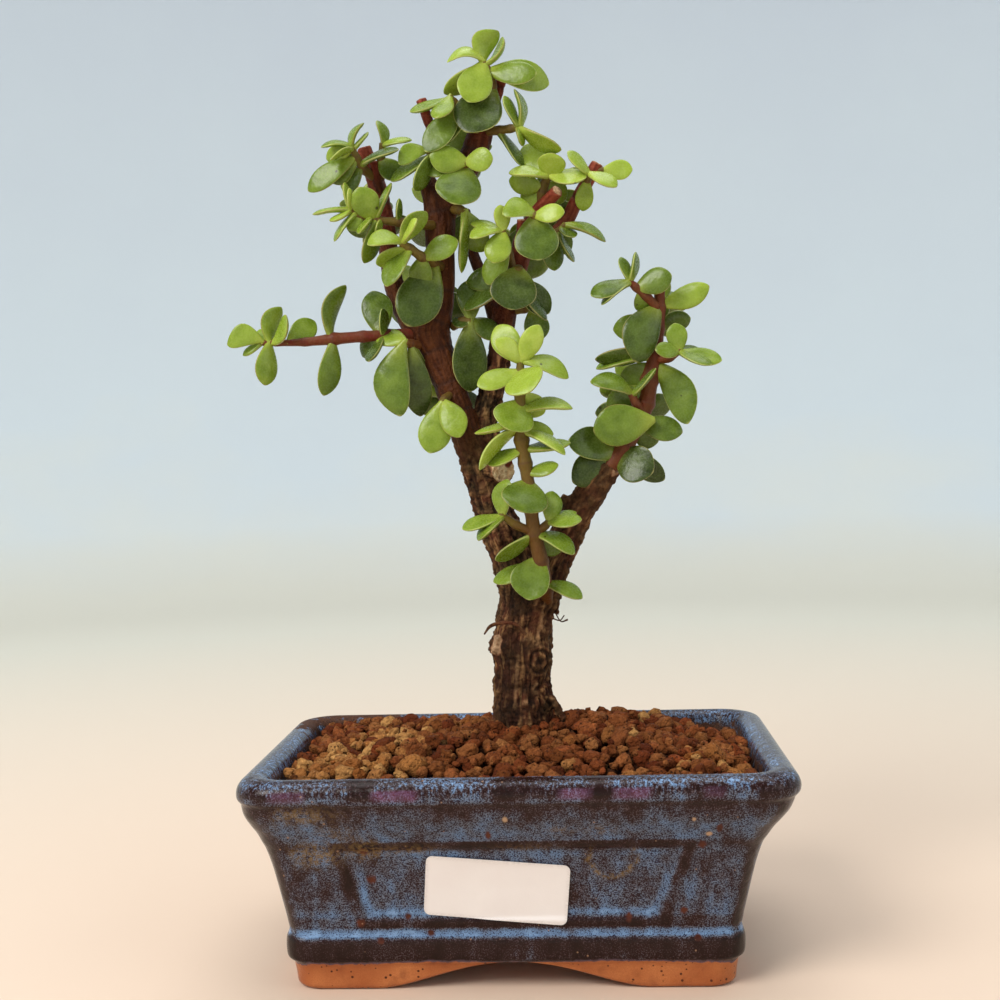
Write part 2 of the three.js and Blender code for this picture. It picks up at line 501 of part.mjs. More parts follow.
// Shoots: each stem is a path [x, y, z, radius] with its leaf rows, and "pairs" adds crosswise
// pairs of the given length where the stem is hidden from the front
const SHOOTS = {
  centre_shoot: [
    {
      path: [[9.5, 1.5, 113, 2.4], [9.4, -4, 119.5, 2.6], [8, -9.5, 129, 2.6], [6.2, -11, 138, 2.7],
        [5.3, -12, 146, 2.2], [4.7, -12.3, 154, 2.2], [3.7, -12.5, 162, 2.3], [2.7, -12.5, 170, 2.5],
        [2.6, -12.8, 177, 2.3], [2.5, -13.2, 186, 1.8], [2.7, -13.7, 192, 1.6], [3.2, -14, 197.5, 1.2]],
      leaves: [
        [2.1, 3.5, 115.9, 6, 13.1, 0, -0.08], [1.9, -8.3, 122.4, -1, 8.5, 64],
        [1.2, 21.8, 116.1, 3, 8.3, 62, 0.08], [3, 19.5, 131.1, 3, 8.5, 63, 0.1],
        [2.8, 14.9, 132, -4, 6.7, 0], [3, -7.4, 129.7, 3, 8.5, -61], [5.2, 1.5, 145.8, 10, 15.5, 0],
        [5.6, 14.9, 161.3, 2, 6.8, 48], [7.6, -11.9, 160.3, 4, 8.5, -65, -0.1],
        [6.6, -8.8, 161.9, 1, 7.6, 58], [7.4, 17.2, 164.6, 5, 8.5, 64, 0.1],
        [6.6, 19.2, 168.7, -2, 8.5, 69], [7.9, -13.2, 172.6, 2, 8.5, 69], [8.6, -2.2, 173.8, 9, 13.8, 0],
        [8.2, 20.2, 180.1, 2, 8.5, 58, 0.08], [8.9, 10.5, 178.6, -5, 8, 0], [7.8, 13.5, 171.6, -3, 7, 30],
        [10.1, 6.2, 186.1, 11, 13.8, 0], [10.2, -11.8, 188.6, 4, 8.1, 35],
        [10.75, 19.1, 190.4, -2, 8.5, 52, 0.12], [10.8, -4.8, 208.6, -4, 9.5, 0],
        [11, 9.7, 208.5, 2, 7.4, 0], [11, -5.3, 203.9, 4, 6.7, 20, -0.1],
      ],
    },
    {
      path: [[5.5, -11.5, 139, 1.6], [0, -13, 141.5, 1.5], [-5.5, -14.5, 145.5, 1.2]],
      leaves: [
        [2, -18.3, 140.5, 2, 8.5, 71], [1.9, -13, 136.4, 5, 7.5, 60], [2, -2.4, 157, 0, 7.5, -20, 0.1],
      ],
    },
    {
      path: [[6.5, -11, 138.5, 1.6], [10, -12, 141, 1.3], [11.5, -12.5, 143, 1.1]],
      leaves: [
        [1.8, 12.6, 152.6, -2, 7.5, 20], [1.6, 22.2, 142.5, 4, 7.2, 58], [1.9, 20.6, 145.2, -2, 6.1, 64],
      ],
    },
  ],
  right_shoot: [
    {
      path: [[31.6, 0, 159.1, 3.4], [37.4, 0, 167, 3.1], [41.6, 0, 174.2, 3], [44.7, 0, 181.1, 3],
        [46.1, 0, 188.8, 3.1], [48.2, 0, 197.1, 2.5], [49.4, 0, 206, 2.1], [50.1, 0, 213.2, 2.1],
        [50, 0, 218.7, 1.9]],
      leaves: [
        [0.5, 18.3, 169.3, 6, 11.4, 20, -0.09], [0.4, 19.4, 155.3, 4, 10.8, -10, -0.09],
        [0.6, 46.6, 157.9, 8, 12.8, 5], [0.8, 50.3, 155.3, -3, 8, 0], [2.1, 56.7, 171, 2, 8.8, 10],
        [1.8, 48.5, 168, -4, 9, 0], [3.6, 31.5, 180.5, -3, 9, 0], [4.6, 36.5, 187.5, -4, 9, 0],
        [7.05, 41.6, 194.8, 6, 12.6, 0, -0.12], [6.2, 34.3, 206, -3, 9, 0], [5.2, 28, 196.3, 2, 8.5, -46],
        [4.9, 28.2, 193.2, -2, 8.5, 68], [4.7, 58.6, 173.8, 5, 10.8, 0, 0.09],
        [7.1, 66.7, 219.5, 2, 8.1, 10, -0.05],
      ],
    },
    {
      path: [[44.3, -1, 176, 1.4], [45.8, -4, 175.7, 1.2], [47, -6.2, 175.3, 1.1]],
      leaves: [[2, 26.8, 172.4, 2, 13.8, 0]],
    },
    {
      path: [[44.4, -1, 177.2, 1.7], [41.4, -3, 181.1, 1.5], [39.7, -4, 185, 1.3]],
      leaves: [[2, 26.2, 188.9, 3, 8.5, 43, -0.12], [2, 48.3, 192.7, 5, 7.6, 74]],
    },
    {
      path: [[49, -1, 195.5, 1.5], [52.8, -4, 196, 1.4], [57, -6, 198.8, 1.1]],
      leaves: [
        [1.9, 48.2, 198.8, 4, 6.1, 30], [2, 54.9, 207.6, 0, 7, 0], [2, 70.3, 194.6, 3, 7, 30],
        [1.8, 66.7, 193.2, 6, 6.5, 60], [2, 63.4, 198.6, -4, 5.5, 49],
      ],
    },
    {
      path: [[49.4, -1, 212.7, 1.6], [45.6, -3, 216.9, 1.5], [42.3, -4, 219.9, 1.4],
        [39.6, -4.5, 222.5, 1.1]],
      leaves: [
        [1.9, 54.3, 223.6, 3, 9, 15], [2.9, 27.2, 217.6, 4, 8.5, 51], [2.6, 30.7, 214.4, 3, 7.8, 71],
        [3, 42.6, 231.7, 0, 6.2, 68], [3, 37.4, 230.2, -1, 5, 50], [1.5, 45.4, 211.5, -4, 7, 0],
      ],
    },
  ],
  left_shoot: [
    {
      path: [[-32.3, 1.5, 206.4, 2.6], [-41.8, -2, 206.6, 2.1], [-49.9, -4, 206.5, 1.9],
        [-60, -5, 206, 2.1], [-69.9, -6, 205.3, 1.4], [-79.9, -7, 205.3, 1.1], [-86, -7.5, 205.6, 0.9]],
      leaves: [
        [3.05, -55.4, 224.1, 1, 8.5, 63, 0.16], [3.05, -64.1, 186.9, 2, 8.5, 45],
        [5.2, -76, 214.6, 5, 7.2, 46, -0.15], [5.3, -77.6, 217.4, -3, 8, 46, 0.15],
        [5.35, -84.1, 191, 2, 8.5, 51], [6, -96.7, 205.4, 2, 7.8, 10, -0.2], [6, -91.4, 201.4, 0, 3.5, 40],
        [5.9, -85.5, 210, -3, 5, 0], [4.55, -66.2, 212.2, -5, 8.1, 0], [1.25, -46.2, 221.8, -5, 10.5, 0],
        [1.2, -48.4, 198, 7, 7.4, 60], [1.15, -43.4, 215.6, 6, 6.4, 66], [1.5, -50.4, 199.6, -3, 7.5, 20],
      ],
    },
  ],
  node_shoot: [
    {
      path: [[-31, -1, 203, 1.8], [-34, -4.5, 203.5, 1.6], [-36, -7, 204.5, 1.2]],
      leaves: [
        [1.9, -38.3, 179.1, 2, 12.5, 0, -0.15], [0.9, -31.2, 178.9, -5, 9.8, 10], [0.6, -31, 188, -9, 8, 0],
        [2, -45.5, 206.4, -4, 8, 30],
      ],
    },
  ],
  scar_shoot: [
    {
      path: [[-21, -1, 186, 1.5], [-23, -4, 184.5, 1.4], [-24, -5.5, 183, 1.2]],
      leaves: [[2, -28.6, 166.4, 4, 11.2, 0], [1.4, -18, 171.5, 6, 9, 10]],
    },
  ],
  front_twig: [
    {
      path: [[-23, -1, 229, 1.9], [-25.5, -5, 230.5, 1.8], [-29, -9, 232.4, 1.7], [-33.2, -12, 235.6, 1.5],
        [-36.5, -14, 237.8, 1.1]],
      leaves: [
        [0.8, -34.9, 209.5, 6, 15.2, 0], [1.9, -16.8, 237.6, 3, 8.1, 10], [4, -27.2, 247.7, 2, 8, -46, 0.1],
        [4, -30.4, 245.4, 6, 5.5, 60], [4, -47.6, 237.4, 5, 7.1, 30, -0.15],
        [3, -44.8, 230.6, -1, 7.6, -50], [2.9, -41.8, 223.1, 4, 8.5, 43], [2, -30.4, 222.5, -4, 8, 0],
      ],
    },
  ],
  left_twig: [
    {
      path: [[-25, -1, 243, 1.8], [-30, -5, 243.5, 1.7], [-36.6, -8, 244.5, 1.6], [-44, -10, 245.5, 1.3],
        [-49.7, -11.5, 247.2, 1.1], [-54.1, -12.5, 249.8, 0.9]],
      leaves: [
        [2, -36.3, 252.5, 3, 5, 70], [3.3, -50.2, 256.7, 5, 9.4, 0], [3.1, -38.8, 257.8, -1, 8.1, 67],
        [3.4, -50.3, 241.3, 6, 5.5, 49], [4, -53.6, 242.3, 1, 5, 0], [4.3, -58.9, 238.8, 1, 7.2, 72],
        [4.8, -60.1, 245.7, 4, 5.3, 67], [5, -66, 248.2, 1, 7.7, 79], [5, -54.6, 258.6, -1, 6, 67],
        [4.9, -53.2, 256.6, 3, 4.7, 68], [3.1, -48.9, 231.1, 0, 8.5, 60], [2.8, -44.8, 240.8, 4, 4.6, 67],
      ],
    },
  ],
  upper_left_twig: [
    {
      path: [[-45, 0, 260, 1.6], [-48.2, -4, 262.8, 1.5], [-50.3, -6.5, 266.6, 1.3], [-52, -8, 270.6, 1]],
      leaves: [
        [3, -62.4, 270.6, 3, 6.5, 66, -0.15], [3, -47.5, 278.2, -1, 6, 58, 0.1],
        [2.8, -46.1, 275, -3, 5.3, 72], [2.8, -58.9, 266.6, 7, 6.4, 72], [3, -60.6, 266.5, -4, 6, 0],
        [2, -67.2, 256, 0, 8, 25], [2, -60.2, 259.4, -4, 9.5, 10], [1.2, -54.4, 254.6, -1, 6.5, 30],
        [1.3, -36, 268.7, 6, 8.5, 63],
      ],
    },
  ],
  outer_twig: [
    {
      path: [[-42.5, 1, 259, 1.6], [-42, 0, 265.5, 1.4], [-41.3, -1, 271.6, 1.1]],
      leaves: [
        [2, -43, 278.8, 0, 5.5, 60, -0.15], [2, -31.4, 271.7, 2, 6.5, 62, 0.1], [1, -36.5, 258.5, 2, 8, 20],
      ],
    },
  ],
  crown_tip: [
    {
      path: [[-4.5, -1.5, 283, 1.8], [-4, -3, 289, 1.6], [-5.4, -4, 294, 1.4], [-7, -5, 297, 1.1]],
      leaves: [
        [0.8, -13.3, 273.6, 8, 15.8, 0], [2.8, -12.2, 283.6, 6, 11.5, 0], [2.6, -20.2, 286.7, -3, 8.5, -52],
        [3, -18.9, 297.1, 2, 7.5, 45, -0.25], [3, -1.4, 306.8, 0, 8.6, -30, 0.22],
        [2.7, -0.1, 304.7, -3, 7.2, 69, -0.15], [1.7, 11.1, 292.1, 4, 8.1, 20],
        [1.9, 15.2, 288.4, -5, 10.5, 15, 0.05],
      ],
    },
  ],
  crown_left_twig: [
    {
      path: [[-9, -1, 273, 1.8], [-13, -4, 279, 1.6], [-17, -6, 284, 1.3], [-18.5, -6.5, 286, 1]],
      leaves: [
        [1.6, -27, 267.6, 4, 9.5, 10], [2.4, -31.9, 281.2, 1, 6.5, 60], [3, -23.2, 278.6, 7, 7.5, 30],
        [1, -22.3, 269.4, -2, 8.5, 30],
      ],
    },
  ],
  crown_right_twig: [
    {
      path: [[-6, -1, 273.5, 1.6], [-2, -3, 273.8, 1.5], [2, -4, 274.2, 1.4], [5.4, -5, 274.6, 1]],
      leaves: [
        [3, 3.5, 287.3, 0, 7.8, 76, -0.15], [2.8, -0.1, 285.2, 3, 6.9, 68], [3, 18.7, 266.4, 2, 8.5, -69],
        [2.6, 5.6, 268.2, 2, 4.6, 56], [0.9, 6.2, 261.4, -4, 8.5, 74],
      ],
    },
  ],
  stub_twig: [
    {
      path: [[-22, -2, 262.5, 1.5], [-24, -5, 266, 1.4], [-26.5, -7, 268.2, 1.1]],
      leaves: [
        [2, -36.2, 264, 3, 6.7, 20, -0.18], [1.1, -39, 258.3, 0, 8.5, 61], [1.3, -31.3, 255, 4, 8.5, -60],
      ],
    },
  ],
  middle_twig: [
    {
      path: [[-15, -1, 259, 1.7], [-14, -5, 262, 1.5], [-13, -8, 264.3, 1.2]],
      leaves: [
        [2, -25.7, 266.4, 2, 9.2, 0], [2, -4.3, 264.5, 4, 8, 10], [1, -18, 249.8, 9, 15.2, 0],
        [0.8, -26.8, 260.3, 2, 7, 40],
      ],
    },
  ],
  hanging_twig: [
    {
      path: [[-18, 0, 248, 1.7], [-15.5, -4, 247.6, 1.5], [-13.8, -6, 247.2, 1.1]],
      leaves: [[2, -16, 226.7, 1, 8.5, 76], [1.6, -8.5, 233.5, -6, 9, 10]],
    },
  ],
  heart_twig: [
    {
      path: [[1, 3, 228, 1.8], [0, -3, 233, 1.6], [-1, -7, 238, 1.4], [-2, -9, 240.8, 1.1]],
      leaves: [
        [3, -12.9, 238.4, 4, 7.1, 58, -0.1], [2.6, -5.2, 229.6, 4, 8.8, 0], [3, -2.4, 249, 1, 6.5, 40],
        [2.4, -12.4, 243.4, -3, 6, 60], [1.4, -7.5, 222.5, -1, 8.5, 10],
      ],
    },
  ],
  pair_twig: [
    {
      path: [[6, 1, 238, 1.8], [7.5, -5, 241.5, 1.6], [9.7, -10, 246, 1.3]],
      leaves: [
        [2, -1.7, 245.9, 4, 8.1, 25, -0.2], [2, 19.2, 245.8, 4, 6.7, 20], [1.6, 10.3, 230, 4, 14.5, 0],
      ],
    },
  ],
  right_crown_twig: [
    {
      path: [[11.5, 2, 248.3, 1.9], [12, 1, 252.5, 1.8], [13, 0, 256, 1.5], [15.2, -2, 258.8, 1.1]],
      leaves: [
        [3, 15.5, 265.6, 6, 9.4, 0], [2.6, 0.8, 259.4, 3, 8.2, 55], [2.8, 26.8, 257, 3, 8.5, 38, -0.08],
        [1.4, 0.8, 257, -2, 7.5, -20], [1.2, 4.8, 248.6, -4, 9, 0], [1.6, 19.8, 250, -5, 8.5, 0],
        [2.7, 6.2, 268.4, -7, 9.5, 0],
      ],
    },
  ],
  far_right_twig: [
    {
      path: [[26, 1, 253.5, 1.5], [27.1, -2, 256.3, 1.3], [27.9, -3.5, 258.6, 1]],
      leaves: [
        [2, 20.7, 266, 2, 7, 58], [2, 36.8, 253.4, 4, 7.4, 45], [0.9, 25.2, 245.8, -3, 6.1, 0],
      ],
    },
    {
      path: [[30, 1, 258.4, 1.3], [31.6, 0.5, 259, 1.2], [33, 0.2, 259.2, 1]],
      leaves: [[2, 42.2, 259, 1, 7.2, 5]],
    },
  ],
  low_right_twig: [
    {
      path: [[12, 3, 236, 1.6], [15.5, -1, 238.4, 1.4], [20, -2, 242, 1.1]],
      leaves: [
        [1.6, 22.3, 237.3, 3, 6.5, 60], [1.3, 21.9, 229, 1, 7.2, 72], [0.8, 15.3, 226.3, -1, 8.5, 30],
        [1, 20.8, 232.6, -5, 7, 0], [2, 32.7, 235.4, -1, 8, 58, 0.08],
      ],
    },
  ],
  dark_leaf_twig: [
    {
      path: [[1, 5, 219, 1.8], [2.5, -1, 224, 1.7], [3.4, -5, 228.4, 1.4]],
      leaves: [
        [2, 0.2, 213.8, 5, 15.5, 0], [1.2, 12.2, 209.8, 2, 8.5, 62], [1, 13.2, 212.2, -4, 9.5, 10],
        [1.3, -15.6, 214.3, 0, 8.5, 54], [1.5, -14.6, 223.4, -5, 8.5, 0],
      ],
    },
  ],
  shade_twig: [
    {
      path: [[-19.5, 5, 209, 1.8], [-16, 2, 210.5, 1.6], [-12.5, 1, 210.5, 1.3]],
      leaves: [
        [1.8, -14.4, 186.6, 0, 12.5, 20], [1.3, -19.3, 209.4, 2, 6.5, 50], [2, -14.4, 224, -3, 8.5, 10],
        [2, -3, 205.5, -3, 8, 20],
      ],
    },
  ],
  low_far_twig: [
    {
      path: [[-1, 9, 213, 1.7], [5, 7, 214, 1.5], [8.5, 6, 213.6, 1.1]],
      leaves: [[2, 9.9, 203.2, 0, 8.7, 10], [1.8, 12.4, 217.1, -4, 6.1, 20]],
    },
  ],
  back_low_twig: [{
    path: [[-19, 6, 180, 1.7], [-22, 16, 184, 1.6], [-25, 25, 191, 1.2]],
    pairs: 4, length: 15,
  }],
  back_node_twig: [{
    path: [[-26, 7, 212, 1.8], [-27, 18, 216, 1.6], [-30, 29, 224, 1.2]],
    pairs: 5, length: 16,
  }],
  back_left_twig: [{
    path: [[-41, 6, 240, 1.7], [-45, 16, 246, 1.5], [-50, 24, 255, 1.1]],
    pairs: 5, length: 14,
  }],
  back_crown_twig: [{
    path: [[-15, 4, 259, 1.8], [-14, 14, 266, 1.6], [-11, 22, 277, 1.2]],
    pairs: 5, length: 14,
  }],
  back_limb_twig: [{
    path: [[-23, 6, 238, 1.8], [-22, 18, 243, 1.6], [-25, 28, 252, 1.2]],
    pairs: 5, length: 15,
  }],
  back_far_twig: [{
    path: [[1, 10, 223, 1.8], [3, 21, 229, 1.6], [2, 31, 238, 1.2]],
    pairs: 5, length: 15,
  }],
  back_right_twig: [{
    path: [[9, 5, 243, 1.7], [14, 15, 247, 1.5], [18, 23, 256, 1.1]],
    pairs: 5, length: 14,
  }],
  back_side_twig: [{
    path: [[42, 2, 176, 1.6], [40, 11, 181, 1.4], [37, 18, 189, 1.1]],
    pairs: 4, length: 14,
  }],
  back_top_twig: [{
    path: [[48.5, 1.5, 205, 1.4], [51, 9, 209, 1.3], [52, 14, 217, 1]],
    pairs: 4, length: 12,
  }],
};

// The joined solid of one leafy shoot
function shootParts(name, seed) {
  const draw = makeDraw(seed);
  return SHOOTS[name].flatMap((stem) => {
    const rows = (stem.leaves ?? []).map((row) => leafFromRow(stem.path, row, draw));
    const pairs = stem.pairs ? crosswiseLeaves(stem.path, stem.pairs, stem.length, draw) : [];
    return [
      (grow) => buildStem(stem.path, TWIG_SIDES, grow),
      ...rows.concat(pairs).map((leaf) => (grow) => buildLeaf(leaf, grow)),
    ];
  });
}

// Cuts a shoot clear of everything that stands before it, and keeps its largest body
const standing = [];

function standClear(parts) {
  let solid = joinAll(parts.map((part) => part(0)));
  const box = solid.boundingBox();
  for (const other of standing) {
    if (boxesTouch(box, other.box)) solid = solid.subtract(other.solid);
  }
  for (const part of parts) {
    const grown = part(GAP);
    standing.push({ solid: grown, box: grown.boundingBox() });
  }
  return largestBody(solid);
}

function buildTrunkPart(name, grow) {
  return buildStem(WOOD[name], WOOD_SIDES[name] ?? SMALL_WOOD_SIDES, grow);
}

// Assembly
const COLOURS = {
  glaze: 0x33456b, terracotta: 0xa85a35, soil: 0x7a4226, bark: 0x4a3527, label: 0xeee8e4,
  screen: 0x1d1d1f, leaf: 0x6f9a35, deepLeaf: 0x4d7a2c,
};
const bonsai = new THREE.Group();

function addPiece(name, geometry, colour, roughness) {
  const material = new THREE.MeshStandardMaterial({ color: colour, roughness, metalness: 0 });
  const piece = new THREE.Mesh(geometry, material);
  piece.name = name;
  bonsai.add(piece);
}

const trunkParts = Object.keys(WOOD).map((name) => (grow) => buildTrunkPart(name, grow));
addPiece("pot", toGeometry(buildPot()), COLOURS.glaze, 0.25);
addPiece("label", toGeometry(buildLabel()), COLOURS.label, 0.5);
addPiece("drain_screen_left", toGeometry(buildScreen(-DRAIN_X)), COLOURS.screen, 0.6);
addPiece("drain_screen_right", toGeometry(buildScreen(DRAIN_X)), COLOURS.screen, 0.6);
addPiece("trunk", toGeometry(standClear(trunkParts)), COLOURS.bark, 0.9);
addPiece("soil", toGeometry(buildSoil()), COLOURS.soil, 0.95);
Object.keys(SHOOTS).forEach((name, index) => {
  const colour = index % 3 === 0 ? COLOURS.deepLeaf : COLOURS.leaf;
  addPiece(name, toGeometry(standClear(shootParts(name, 100 + index))), colour, 0.45);
});

// The origin lies at the middle of the whole, on the ground
const whole = new THREE.Box3().setFromObject(bonsai);
const middle = whole.getCenter(new THREE.Vector3());
bonsai.children.forEach((piece) => piece.geometry.translate(-middle.x, -middle.y, -whole.min.z));

export default bonsai;
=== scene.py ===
import math

import bpy
import bmesh
from mathutils import Matrix, Vector, kdtree, noise


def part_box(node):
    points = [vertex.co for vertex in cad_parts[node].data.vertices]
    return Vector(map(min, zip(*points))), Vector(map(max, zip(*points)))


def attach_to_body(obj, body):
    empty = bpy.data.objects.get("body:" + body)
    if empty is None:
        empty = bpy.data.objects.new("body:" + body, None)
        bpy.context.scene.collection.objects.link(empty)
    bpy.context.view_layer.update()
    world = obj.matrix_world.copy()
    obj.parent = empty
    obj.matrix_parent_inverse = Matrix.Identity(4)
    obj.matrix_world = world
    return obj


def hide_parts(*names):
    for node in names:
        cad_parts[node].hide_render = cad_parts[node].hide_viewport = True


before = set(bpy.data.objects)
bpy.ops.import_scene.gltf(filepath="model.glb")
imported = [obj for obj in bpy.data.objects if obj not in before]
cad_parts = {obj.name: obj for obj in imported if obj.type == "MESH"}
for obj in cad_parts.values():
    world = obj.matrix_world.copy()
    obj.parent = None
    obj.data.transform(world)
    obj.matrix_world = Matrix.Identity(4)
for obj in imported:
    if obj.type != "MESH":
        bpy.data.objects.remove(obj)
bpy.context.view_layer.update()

# Looks of a potted dwarf jade bonsai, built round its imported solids. Lengths in the tables are
# millimetres from the middle of the pot on the ground, and become metres when a piece is made.
MM = 0.001
POT_LOW, POT_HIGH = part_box("pot")
POT_MIDDLE = Vector(((POT_LOW[0] + POT_HIGH[0]) / 2, (POT_LOW[1] + POT_HIGH[1]) / 2, 0.0))

# The front view's eye. Stems, leaf tips and marks on the wood are given by where they are seen
# against the trunk's plane, and slide along the line of sight to their own depth.
EYE = Vector((21.7, -464.0, 164.6))
TRUNK_PLANE_Y = 4.0

